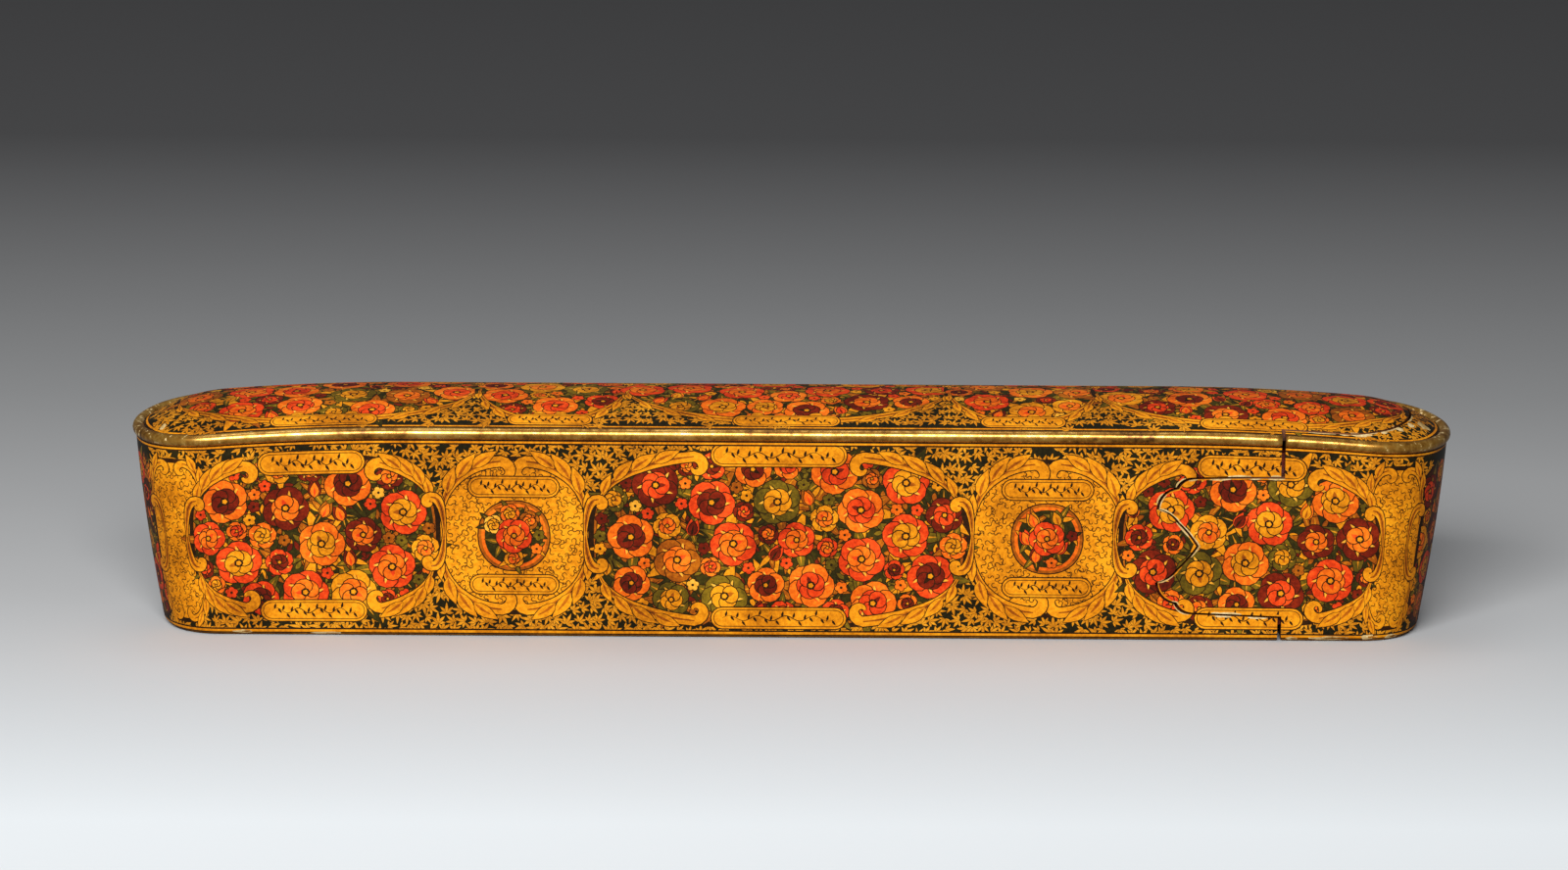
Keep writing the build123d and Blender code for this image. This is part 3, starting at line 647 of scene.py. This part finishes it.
# Where the drawer's head meets the sleeve: upright cuts and a scalloped tongue between them, sawn
# through the painted case. The tongue's points are (x, height from its middle), and each half is the
# other's mirror image.
CUT_X = 89.0
CUT_GAP = 0.7
TONGUE_GAP = 0.5
TONGUE_SLACK = 0.35
TONGUE_MID = 18.2
TONGUE_ROOT_HALF = 13.3
TONGUE_NECK = (72.7, 12.7)
LOBE_CUSP = (70.0, 10.8)
LOBE_TIP = (66.5, 7.0)
INNER_CUSP = (70.2, 4.5)
NOTCH_X = 73.8


def sagitta(a, b, sag, count=7):
    """Points of an arc from a to b that bulges to the left by the sag."""
    chord = math.dist(a, b)
    points = []
    for k in range(count):
        t = k / count
        rise = 4 * sag * t * (1 - t)
        points.append((a[0] + (b[0] - a[0]) * t - (b[1] - a[1]) / chord * rise,
                       a[1] + (b[1] - a[1]) * t + (b[0] - a[0]) / chord * rise))
    return points


def parting_line(cut_back, gap, slack):
    """The parting from the top of the wall to its foot, on the head's side or set back from it."""
    root = (CUT_X - cut_back, TONGUE_ROOT_HALF + slack)
    neck = (TONGUE_NECK[0] - gap, TONGUE_NECK[1] + slack)
    cusp = (LOBE_CUSP[0] - gap, LOBE_CUSP[1] + slack)
    tip = (LOBE_TIP[0] - gap, LOBE_TIP[1])
    inner = (INNER_CUSP[0] - gap, INNER_CUSP[1])
    notch = (NOTCH_X - gap, 0.0)
    half = (sagitta(notch, inner, -0.2) + sagitta(inner, tip, -0.45) + sagitta(tip, cusp, 0.97)
            + sagitta(cusp, neck, 0.46) + [neck, root, (root[0], SHOULDER_HEIGHT + 4)])
    upper = [(x, TONGUE_MID + y) for x, y in half]
    lower = [(x, TONGUE_MID - y) for x, y in half]
    return upper[::-1] + lower[1:]


# Cutting a sheet into the painted skins of the sleeve and the head. The shapes and the parting are
# drawn through one another into one net of triangles, so that each paint ends on its own line, and
# the net is then bent onto the gesso, a hair proud of it.
PAINT_PROUD = 0.03


def outline_area(points):
    """Area inside an outline."""
    return abs(sum(a[0] * b[1] - b[0] * a[1] for a, b in zip(points, points[1:] + points[:1]))) / 2


def holds(points, x, y):
    """Whether an outline goes round a place."""
    inside = False
    for (ax, ay), (bx, by) in zip(points, points[1:] + points[:1]):
        if (ay > y) != (by > y) and x < (bx - ax) * (y - ay) / (by - ay) + ax:
            inside = not inside
    return inside


def thinned(flat, triangles, slots, lines):
    """The same painting with fewer triangles: cuts that lie hidden inside one paint are closed again."""
    columns = {round(a[0], 3) for a, b in lines if a[0] == b[0]}
    rows = {round(a[1], 3) for a, b in lines if a[1] == b[1]}
    net = bmesh.new()
    corners = [net.verts.new((v.x, v.y, 0)) for v in flat]
    for triangle, slot in zip(triangles, slots):
        net.faces.new([corners[i] for i in triangle]).material_index = slot
    on_column = [round(v.x, 3) if round(v.x, 3) in columns else None for v in flat]
    on_row = [round(v.y, 3) if round(v.y, 3) in rows else None for v in flat]
    net.normal_update()
    net.verts.index_update()
    for edge in net.edges:
        i, j = edge.verts[0].index, edge.verts[1].index
        edge.seam = (on_column[i] is not None and on_column[i] == on_column[j]
                     or on_row[i] is not None and on_row[i] == on_row[j])
    bmesh.ops.dissolve_limit(net, angle_limit=0.01, use_dissolve_boundaries=False, verts=net.verts[:],
                             edges=net.edges[:], delimit={"MATERIAL", "SEAM"})
    bmesh.ops.triangulate(net, faces=net.faces[:])
    net.verts.index_update()
    kept = [v.co.xy for v in net.verts]
    faces = [[v.index for v in face.verts] for face in net.faces]
    used = [face.material_index for face in net.faces]
    net.free()
    return kept, faces, used


def laid_out(sheet, regions, lines, names):
    """Cuts the sheet's shapes into one flat net of triangles, divided into the named regions.

    Each triangle takes the paint of the last shape drawn over it. The cutter lets a shape spill now
    and then, so the triangles of a shape that covers more than its own area are tested one by one.
    """
    outlines = [turned_ccw(region) for region in regions] + [points for paint, points in sheet.shapes]
    verts, faces, edges = [], [], []
    for points in outlines:
        faces.append(list(range(len(verts), len(verts) + len(points))))
        verts.extend(Vector(p) for p in points)
    for a, b in lines:
        edges.append((len(verts), len(verts) + 1))
        verts.extend((Vector(a), Vector(b)))
    out = geometry.delaunay_2d_cdt(verts, edges, faces, 1, 1e-5, True)
    flat, triangles, sources = out[0], out[2], out[5]
    covered = [0.0] * len(outlines)
    for (i, j, k), ids in zip(triangles, sources):
        size = abs((flat[j] - flat[i]).cross(flat[k] - flat[i])) / 2
        for shape in ids:
            covered[shape] += size
    spilled = {shape for shape, points in enumerate(outlines)
               if covered[shape] > 1.1 * outline_area(points) + 0.03}
    paints = ["ground"] + sorted({paint for paint, points in sheet.shapes})
    made = [(name, {}, [], [], []) for name in names]
    for triangle, ids in zip(triangles, sources):
        if not spilled.isdisjoint(ids):
            x, y = sum((flat[i] for i in triangle), Vector((0, 0))) / 3
            ids = [i for i in ids if i not in spilled or holds(outlines[i], x, y)]
        for region in range(len(regions)):
            if region in ids:
                name, used, mesh_verts, mesh_faces, slots = made[region]
                top = max(ids)
                paint = sheet.shapes[top - len(regions)][0] if top >= len(regions) else "ground"
                slots.append(paints.index(paint))
                for index in triangle:
                    if index not in used:
                        used[index] = len(mesh_verts)
                        mesh_verts.append(flat[index])
                mesh_faces.append([used[index] for index in triangle])
    skins = [(name, *thinned(mesh_verts, mesh_faces, slots, lines))
             for name, used, mesh_verts, mesh_faces, slots in made]
    return skins, paints


def fitted(name, mesh, body):
    """Makes a mesh a piece of the lacquered case that goes with the sleeve or the drawer."""
    piece = bpy.data.objects.new(name, mesh)
    bpy.context.scene.collection.objects.link(piece)
    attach(piece, body)


def painted_skin(name, body, mesh_verts, mesh_faces, slots, paints, place, flipped=False):
    """A painted surface as a mesh: each flat place is bent onto the box by a function."""
    mesh = bpy.data.meshes.new(name)
    faces = [face[::-1] for face in mesh_faces] if flipped else mesh_faces
    mesh.from_pydata([place(v.x, v.y) for v in mesh_verts], [], faces)
    for paint in paints:
        mesh.materials.append(PAINTS[paint])
    mesh.polygons.foreach_set("material_index", slots)
    mesh.polygons.foreach_set("use_smooth", [True] * len(slots))
    mesh.update()
    fitted(name, mesh, body)


def between(line, low, high):
    """A line with its heights held between two limits."""
    return [(x, min(max(y, low), high)) for x, y in line]


def fine(line, step):
    """The same line with more points along it."""
    points = [line[0]]
    for a, b in zip(line, line[1:]):
        count = max(1, round(math.dist(a, b) / step))
        points += [(a[0] + (b[0] - a[0]) * k / count, a[1] + (b[1] - a[1]) * k / count)
                   for k in range(1, count + 1)]
    return points


# The painted wall, worked out once and laid on the front and, mirrored, on the back. Extra lines
# cut the net where the wall curves: round the ends, along the shoulder's bend and at the foot.
SPLITS = (-STRIP_END, -62.0, -2.2, 44.0)
CURVE_START = 90.6
CURVE_STEP = 1.2
PLAIN_STEP = 6
PLAIN_HEIGHTS = (8, 14, 20, 26, 32)
FOOT_HEIGHTS = (0.3, 0.55, 0.9, 1.2, 1.6, 2.1)
sleeve_side = between(parting_line(CUT_GAP, TONGUE_GAP, TONGUE_SLACK), WALL_LOW, WALL_TOP)
head_side = between(parting_line(0, 0, 0), WALL_LOW, WALL_TOP)
wall_regions = [[(a, WALL_LOW), (b, WALL_LOW), (b, WALL_TOP), (a, WALL_TOP)]
                for a, b in zip(SPLITS, SPLITS[1:])]
wall_regions += [[(SPLITS[-1], WALL_TOP), (SPLITS[-1], WALL_LOW)] + sleeve_side[::-1],
                 [(STRIP_END, WALL_TOP)] + head_side + [(STRIP_END, WALL_LOW)]]
wall_names = ["sleeve_{}_painting_" + part for part in ("left_end", "left", "middle", "right")]
wall_names.append("head_{}_painting")
columns = []
for sign in (1, -1):
    columns += [sign * (FLAT_REACH + 3 * k) for k in range(8)]
    x = CURVE_START
    while x < STRIP_END:
        columns.append(sign * x)
        x += CURVE_STEP
columns += [PLAIN_STEP * k for k in range(-11, 12)]
wall_lines = [((x, WALL_LOW - 1), (x, WALL_TOP + 1)) for x in columns]
wall_lines += [((-STRIP_END - 1, y), (STRIP_END + 1, y)) for y in FOOT_HEIGHTS + PLAIN_HEIGHTS]

# The head's side of the parting gets more pale strokes: partly wear, partly painted highlight where its cut
# edge faces up into the light.
worn_and_highlit_lines = [(fine([p for p in line if FOOT_BAND < p[1] < GOLD_LINE[0]], 0.6), share)
              for line, share in ((sleeve_side, 0.35), (head_side, 0.8))]
skins, wall_paints = laid_out(wall_sheet(worn_and_highlit_lines), wall_regions, wall_lines, wall_names)
for name, flat, triangles, slots in skins:
    body = "drawer" if name.startswith("head") else "sleeve"
    painted_skin(name.format("front"), body, flat, triangles, slots, wall_paints,
                 lambda x, y: wall_place(x, y, 1, PAINT_PROUD))
    painted_skin(name.format("back"), body, flat, triangles, slots, wall_paints,
                 lambda x, y: wall_place(x, y, -1, PAINT_PROUD), flipped=True)


# The painted top: five flower medallions that meet in cusps on the ridge, with black corners of
# gold vine between them, a plaque at each middle along both long edges, and a gold border line. The
# sleeve's part ends in a round tongue that laps over the head, and the seam round it is chipped.
TIP_RADIUS = 31.2
CREST_HEIGHT = 42.95
CROWN_HEIGHT = 3.9
CROWN_RADIUS = ((CASE_WIDTH / 2) ** 2 + CROWN_HEIGHT**2) / (2 * CROWN_HEIGHT)
LAP_REACH = 112.4
LAP_HALF_WIDTH = 16.2
LAP_CORNER = 11.5
LAP_NOSE = 20.0
TOP_EDGE = 0.75
TOP_CUSPS = (-111.5, -56.7, -30.0, 28.6, 55.3, 111.5)
TOP_HALF_WIDTH = 15.4
TOP_POWER = 2.3
PLAQUE_Y = 15.2
TOP_SIZES = (4.2,) * 3 + (3.4,) * 6 + (2.6,) * 12 + (1.9,) * 24 + (1.2,) * 40
TOP_MEDALLIONS = [((low + high) / 2, (high - low) / 2) for low, high in zip(TOP_CUSPS, TOP_CUSPS[1:])]
TOP_GROUND = (118.0, 17.2)
TOP_RINGS = ((0.3, "line"), (1.55, "gold"), (1.9, "line"), (2.1, "ground"))
GROUND_INSET = 2.3
TOP_CHIPS = ((102.4, -16.4, 2.7, 0.7, 11), (106.8, -14.4, 0.9, 0.6, 12), (109.6, -11.6, 1.3, 0.9, 13),
             (112.2, -8.2, 0.9, 1.0, 14), (114.6, -5.6, 1.3, 1.7, 15), (-113.5, -10.5, 0.7, 1.1, 16))


def top_place(x, y, proud):
    """Point of the crowned top over a place in plan."""
    depth = CROWN_RADIUS - math.sqrt(CROWN_RADIUS**2 - y**2) - proud
    along = abs(x)
    if along <= FLAT_REACH:
        return Vector((x, y, CREST_HEIGHT - depth)) * MM
    centre_x, centre_z, radius = FLAT_REACH, CREST_HEIGHT - BEND_RADIUS, BEND_RADIUS
    turn = math.asin(min(1, (along - centre_x) / (radius - depth)))
    if turn > FULL_TURN:
        centre_x += (BEND_RADIUS - TIP_RADIUS) * math.sin(FULL_TURN)
        centre_z += (BEND_RADIUS - TIP_RADIUS) * math.cos(FULL_TURN)
        radius = TIP_RADIUS
        turn = math.asin(min(1, (along - centre_x) / (radius - depth)))
    return Vector((x, y, centre_z + (radius - depth) * math.cos(turn))) * MM


def lap_outline(grow):
    """Rounded end of the tongue of the sleeve's top, from its back edge round to its front edge."""
    half_width, corner, nose = LAP_HALF_WIDTH + grow, LAP_CORNER + grow, LAP_NOSE + grow
    nose_x = LAP_REACH + grow - nose
    lean = math.asin((half_width - corner) / (nose - corner))
    start = nose_x + (nose - corner) * math.cos(lean)
    points = [(start + corner * math.sin(t), half_width - corner + corner * math.cos(t))
              for t in ((math.pi / 2 - lean) * k / 10 for k in range(11))]
    points += [(nose_x + nose * math.cos(t), nose * math.sin(t))
               for t in (lean - 2 * lean * k / 12 for k in range(1, 12))]
    points += [(x, -y) for x, y in reversed(points[:11])]
    return points


def whole_loop(inset):
    """The outline of the top in plan, set in from the wall, once round the box."""
    front = [outline_point(-STRIP_END + 2 * STRIP_END * k / 150, SHOULDER_HEIGHT, inset)
             for k in range(151)]
    return front + [(x, -y) for x, y in front[-2:0:-1]]


def top_is_ground(x, y):
    """Whether a place on the top may hold a sprig."""
    edge = abs(outline_point(x, SHOULDER_HEIGHT, GROUND_INSET)[1]) if abs(x) < START_X else CASE_WIDTH
    return (abs(y) < edge and math.hypot(max(abs(x) - NOSE_X, 0), y) < NOSE_RADIUS - GROUND_INSET
            and not any(in_oval(x, y, cx, 0, rx - 0.8, TOP_HALF_WIDTH - 0.8, TOP_POWER)
                        for cx, rx in TOP_MEDALLIONS))


def top_sheet():
    """The whole top, sleeve and head together, with the seam's chips."""
    sheet = Sheet()
    for inset, paint in TOP_RINGS:
        sheet.draw(paint, whole_loop(inset))
    reach, half_width = TOP_GROUND
    vine_ground(sheet, (-reach, -half_width), (reach, half_width), top_is_ground, VINE_SPACING, 77)
    for k, (cx, rx) in enumerate(TOP_MEDALLIONS):
        flower_medallion(sheet, cx, 0, rx, TOP_HALF_WIDTH, TOP_POWER, 51 + k, TOP_SIZES, 1.5, 0.06, 0.9, 3)
        for side in (1, -1):
            plaque(sheet, cx, side * PLAQUE_Y, 9.6 if rx > 20 else 7.6, 1.7)
    seam = [p for p in lap_outline(TONGUE_GAP)[::-1] if p[1] < -1]
    worn_and_highlit_edge(sheet, fine([(CUT_X, -LAP_HALF_WIDTH - TONGUE_GAP)] + seam, 0.7), 0.75, 5)
    for x, y, rx, ry, seed in TOP_CHIPS:
        patch(sheet, "gesso", x, y, rx, ry, seed)
    return sheet


mouth_x = CUT_X - CUT_GAP
edge_y = outline_point(mouth_x, SHOULDER_HEIGHT, TOP_EDGE)[1]
left_edge = [p for p in whole_loop(TOP_EDGE)[:151] if p[0] < mouth_x]
right_edge = [p for p in whole_loop(TOP_EDGE)[:151] if p[0] > CUT_X]
sleeve_top = ([(x, -y) for x, y in left_edge[1:]][::-1] + left_edge
              + [(mouth_x, edge_y), (mouth_x, -LAP_HALF_WIDTH)] + lap_outline(0)[::-1]
              + [(mouth_x, LAP_HALF_WIDTH), (mouth_x, -edge_y)])
head_edge_y = outline_point(CUT_X, SHOULDER_HEIGHT, TOP_EDGE)[1]
lap_side = LAP_HALF_WIDTH + TONGUE_GAP
head_top = ([(CUT_X, -lap_side), (CUT_X, head_edge_y)] + right_edge
            + [(x, -y) for x, y in right_edge[:-1]][::-1] + [(CUT_X, -head_edge_y), (CUT_X, lap_side)]
            + lap_outline(TONGUE_GAP))
top_lines = [((-STRIP_END, 1.6 * k), (STRIP_END, 1.6 * k)) for k in range(-12, 13)]
top_lines += [((6 * k, -20), (6 * k, 20)) for k in range(-11, 12)]
for sign in (1, -1):
    x = FLAT_REACH
    while x < CASE_LENGTH / 2:
        top_lines.append(((sign * x, -20), (sign * x, 20)))
        x += 4.0 if x < START_X - 2 else 1.2
top_names = ("sleeve_top_painting", "head_top_painting")
skins, top_paints = laid_out(top_sheet(), [sleeve_top, head_top], top_lines, top_names)
for name, flat, triangles, slots in skins:
    body = "drawer" if name.startswith("head") else "sleeve"
    painted_skin(name, body, flat, triangles, slots, top_paints, lambda x, y: top_place(x, y, PAINT_PROUD))


# The gilt moulding: a half-round bead of paste round the shoulder, laid with gold leaf and
# burnished, and cut through with the wall where the head meets the sleeve. Handling has worn the
# gold to a brown ground, and at the ends to the pale gesso.
BEAD_RADIUS = 1.05
BEAD_SINK = 0.15
BEAD_SIDES = 16
WEAR_SIZE = 14.0
GRIME_SIZE = 1.3
BARE_GESSO_X = (92.0, 118.0)
BARE_SHARE = 0.1


def gold_leaf(tree, place):
    """Leaf browned in patches, and rubbed through to the pale gesso more often towards its ends."""
    drift = node(tree, "ShaderNodeTexNoise", {
        "Vector": place, "Scale": 1 / (WEAR_SIZE * MM), "Detail": 5.0, "Roughness": 0.65})
    grime = node(tree, "ShaderNodeTexNoise", {
        "Vector": place, "Scale": 1 / (GRIME_SIZE * MM), "Detail": 4.0, "Roughness": 0.7})
    mixed = node(tree, "ShaderNodeMix", {0: 0.45, 2: drift, 3: grime}, data_type="FLOAT")
    gold = node(tree, "ShaderNodeValToRGB", {"Fac": mixed}, (
        (0.36, "#5E3A12"), (0.46, "#B07A2A"), (0.56, "#DCAA50"), (0.68, "#F6D68C")))
    x = node(tree, "ShaderNodeSeparateXYZ", {"Vector": place}).outputs["X"]
    along = node(tree, "ShaderNodeMath", {0: x}, operation="ABSOLUTE")
    end = node(tree, "ShaderNodeMapRange", {
        "Value": along, "From Min": BARE_GESSO_X[0] * MM, "From Max": BARE_GESSO_X[1] * MM,
        "To Max": BARE_SHARE})
    rubbed = node(tree, "ShaderNodeMath", {0: grime, 1: end}, operation="ADD")
    bared = node(tree, "ShaderNodeValToRGB", {"Fac": rubbed},
                 ((0.68, "#000000"), (0.72, "#FFFFFF")))
    colour = node(tree, "ShaderNodeMix", {0: bared, 6: gold, 7: linear("#DCC08A")},
                  data_type="RGBA").outputs[2]
    metal = node(tree, "ShaderNodeMix", {0: bared, 2: 0.75, 3: 0.0}, data_type="FLOAT")
    dulled = node(tree, "ShaderNodeValToRGB", {"Fac": grime}, ((0.3, "#B0B0B0"), (0.7, "#808080")))
    bump = node(tree, "ShaderNodeBump", {"Strength": 0.4, "Distance": 0.06 * MM, "Height": mixed})
    return node(tree, "ShaderNodeBsdfPrincipled", {
        "Base Color": colour, "Metallic": metal, "Roughness": dulled,
        "Coat Weight": 0.15, "Coat Roughness": 0.2, "Normal": bump})


gilt = surfaced("burnished_gold_leaf_on_gesso", gold_leaf)


def bead_centre(u, side):
    """Centre of the moulding: its round ends lie in planes that fall to the tips."""
    x, y = outline_point(u, SHOULDER_HEIGHT, BEAD_SINK)
    height = shoulder_line(x)
    over = abs(x) - START_X
    if over > 0:
        x = math.copysign(START_X + over * math.cos(FULL_TURN), x)
        height = shoulder_line(START_X) - over * math.sin(FULL_TURN)
    return Vector((x, side * y, height))


def bead(name, body, start, stop, steps):
    """A round rod from a cut on the front round one end of the box to the same cut on the back."""
    front = [bead_centre(start + (stop - start) * k / steps, 1) for k in range(steps + 1)]
    path = front + [Vector((p.x, -p.y, p.z)) for p in front[-2::-1]]
    verts, faces = [], []
    for k, point in enumerate(path):
        heading = (path[min(k + 1, len(path) - 1)] - path[max(k - 1, 0)]).normalized()
        across = heading.cross(Vector((0, 0, 1))).normalized()
        up = across.cross(heading)
        for j in range(BEAD_SIDES):
            angle = math.tau * j / BEAD_SIDES
            reach = BEAD_RADIUS + PAINT_PROUD
            verts.append((point + across * reach * math.cos(angle) + up * reach * math.sin(angle)) * MM)
    for k in range(len(path) - 1):
        for j in range(BEAD_SIDES):
            a, b = k * BEAD_SIDES + j, k * BEAD_SIDES + (j + 1) % BEAD_SIDES
            faces.append((a, b, b + BEAD_SIDES, a + BEAD_SIDES))
    last = (len(path) - 1) * BEAD_SIDES
    faces.append(list(range(BEAD_SIDES))[::-1])
    faces.append(list(range(last, last + BEAD_SIDES)))
    mesh = bpy.data.meshes.new(name)
    mesh.from_pydata(verts, [], faces)
    mesh.materials.append(gilt)
    mesh.polygons.foreach_set("use_smooth", [True] * (len(faces) - 2) + [False, False])
    fitted(name, mesh, body)


bead("sleeve_gilt_moulding", "sleeve", mouth_x, -STRIP_END, 220)
bead("head_gilt_moulding", "drawer", CUT_X, STRIP_END, 60)


# Inkwell and water spoon of cast brass, filed and polished, darkened by handling; the knife's
# blade is forged steel, ground bright. Fine scratches follow the filing and the grinding.
SCRATCH_WIDTH = 0.3
SCRATCH_DEPTH = 0.02
TARNISH_SIZE = 5.0


def worked_metal(name, light, mid, dark, roughness, grain):
    """Bare metal that has tarnished in patches, scratched along the direction it was worked."""

    def build(tree, place):
        pulled = node(tree, "ShaderNodeMapping", {"Vector": place, "Scale": grain})
        scratches = node(tree, "ShaderNodeTexNoise", {
            "Vector": pulled, "Scale": 1 / (SCRATCH_WIDTH * MM), "Detail": 3.0, "Roughness": 0.6})
        tarnish = node(tree, "ShaderNodeTexNoise", {
            "Vector": place, "Scale": 1 / (TARNISH_SIZE * MM), "Detail": 5.0, "Roughness": 0.65})
        colour = node(tree, "ShaderNodeValToRGB", {"Fac": tarnish}, (
            (0.34, dark), (0.5, mid), (0.64, light)))
        bump = node(tree, "ShaderNodeBump", {
            "Strength": 0.2, "Distance": SCRATCH_DEPTH * MM, "Height": scratches})
        return node(tree, "ShaderNodeBsdfPrincipled", {
            "Base Color": colour, "Metallic": 1.0, "Roughness": roughness, "Normal": bump})

    return surfaced(name, build)


brass = worked_metal("filed_cast_brass", "#E0B860", "#C0923E", "#7A5420", 0.3, (0.2, 1, 1))
for name in ("inkwell_body", "inkwell_top", "inkwell_lid", "penknife_ferrule", "water_spoon"):
    dress(name, brass)
dress("penknife_blade", worked_metal("ground_steel", "#C8C8C6", "#A6A6A4", "#74706C", 0.32, (1, 1, 0.1)))


# Reed pens, the knife's eight-sided ebony handle and the bone nib rest: cut and polished, each with
# its grain along the piece, which shows as fine lines under a soft shine.
GRAIN_PULL = 0.04
GRAIN_DEPTH = 0.03


def grained(name, light, mid, dark, width, roughness, coat):
    """A fibrous material, in three tones that run with fibres of the given width."""

    def build(tree, place):
        stretched = node(tree, "ShaderNodeMapping", {"Vector": place, "Scale": (GRAIN_PULL, 1, 1)})
        grain = node(tree, "ShaderNodeTexNoise", {
            "Vector": stretched, "Scale": 1 / (width * MM), "Detail": 5.0, "Roughness": 0.65})
        colour = node(tree, "ShaderNodeValToRGB", {"Fac": grain}, (
            (0.34, dark), (0.5, mid), (0.66, light)))
        bump = node(tree, "ShaderNodeBump", {
            "Strength": 0.25, "Distance": GRAIN_DEPTH * MM, "Height": grain})
        return node(tree, "ShaderNodeBsdfPrincipled", {
            "Base Color": colour, "Roughness": roughness, "Coat Weight": coat,
            "Coat Roughness": 0.15, "Normal": bump})

    return surfaced(name, build)


reed = grained("polished_marsh_reed", "#B07A3C", "#7E4A20", "#4A2810", 0.5, 0.4, 0.2)
for number in (1, 2, 3):
    dress(f"reed_pen_{number}", reed)
dress("penknife_handle", grained("oiled_ebony", "#3A2A20", "#1F1712", "#0F0B08", 0.6, 0.35, 0.3))
dress("nib_rest", grained("sawn_bone", "#EFE4C8", "#E0D0AC", "#C8B48A", 0.6, 0.45, 0.1))


# Table and backdrop: one flat sheet of matt grey paper. For the camera its colour is painted light
# falloff, as where one soft box lights a table: a painted pool of light round the box, fading to
# painted shade, dark grey, behind it. Only the camera sees this painted light: to every other ray,
# mirrored ones too, the paper is one mid grey.
PAINTED_FALLOFF_REACH = (-0.3, 0.5)
BOUNCE_GREY = "#6C6C6C"
TABLE_HALF = 4


def paper_with_painted_falloff(tree, place):
    """Matt grey paper with painted light falloff, pale in front and dark behind, for the camera only."""
    depth = node(tree, "ShaderNodeSeparateXYZ", {"Vector": place}).outputs["Y"]
    far = node(tree, "ShaderNodeMapRange", {
        "Value": depth, "From Min": PAINTED_FALLOFF_REACH[0], "From Max": PAINTED_FALLOFF_REACH[1]})
    # Painted light: a pool of light just before the box, fading to painted shade further back.
    shade = node(tree, "ShaderNodeValToRGB", {"Fac": far}, (
        (0.0, "#C4C4C5"), (0.2, "#E0E5E8"), (0.4, "#B9BABB"), (0.62, "#98999A"), (1.0, "#5A5A5B")))
    seen = node(tree, "ShaderNodeLightPath").outputs["Is Camera Ray"]
    tint = node(tree, "ShaderNodeMix", {0: seen, 6: linear(BOUNCE_GREY), 7: shade},
                data_type="RGBA").outputs[2]
    return node(tree, "ShaderNodeBsdfPrincipled", {
        "Base Color": tint, "Roughness": 0.85, "Specular IOR Level": 0.2})


floor_mesh = bpy.data.meshes.new("table")
corners = [(x * TABLE_HALF, y * TABLE_HALF, 0) for x, y in ((-1, -1), (1, -1), (1, 1), (-1, 1))]
floor_mesh.from_pydata(corners, [], [(0, 1, 2, 3)])
floor_mesh.materials.append(surfaced("grey_paper_painted_light_falloff", paper_with_painted_falloff))
floor = bpy.data.objects.new("table", floor_mesh)
bpy.context.scene.collection.objects.link(floor)

# Lamps: one long soft box in front, above the camera, that gives the gloss on the moulding, a weak
# one overhead, and a little grey light from the room.
world = bpy.data.worlds.new("studio")
bpy.context.scene.world = world
world.use_nodes = True
world.node_tree.nodes["Background"].inputs["Color"].default_value = linear("#C8CCD2")
world.node_tree.nodes["Background"].inputs["Strength"].default_value = 0.1


def lamp(name, power, width, height, position, target):
    """A soft box: a long area lamp turned to a place on the box."""
    light = bpy.data.lights.new(name, "AREA")
    light.shape = "RECTANGLE"
    light.energy, light.size, light.size_y = power, width, height
    holder = bpy.data.objects.new(name, light)
    holder.location = position
    holder.rotation_euler = (Vector(target) - Vector(position)).to_track_quat("-Z", "Y").to_euler()
    bpy.context.scene.collection.objects.link(holder)


lamp("front_soft_box", 31.0, 1.0, 0.45, (-0.2, -1.2, 0.72), (0, 0, 0.02))
lamp("top_soft_box", 2.5, 1.0, 0.5, (-0.2, 0.2, 1.2), (0, 0, 0))

# Camera: the photograph's view, 12.5 degrees above the table, through a long lens, tipped a little.
PHOTO_WIDTH = 1600
PIXELS_PER_RADIAN = 7392
ELEVATION = math.radians(12.5)
AZIMUTH = math.radians(0.55)
ROLL = math.radians(0.22)
DISTANCE = 1.3
LOOK_AT = Vector((-1.1, -20.0, 39.0)) * MM
camera = bpy.data.objects.new("camera", bpy.data.cameras.new("camera"))
camera.data.sensor_width = 36
camera.data.lens = 36 * PIXELS_PER_RADIAN / PHOTO_WIDTH
camera.data.clip_start = 0.01
offset = Vector((math.sin(AZIMUTH) * math.cos(ELEVATION), -math.cos(AZIMUTH) * math.cos(ELEVATION),
                 math.sin(ELEVATION)))
camera.location = LOOK_AT + offset * DISTANCE
camera.rotation_euler = ((-offset).to_track_quat("-Z", "Y") @ Quaternion((0, 0, 1), ROLL)).to_euler()
bpy.context.scene.collection.objects.link(camera)
bpy.context.scene.camera = camera
bpy.context.scene.view_settings.view_transform = "Standard"
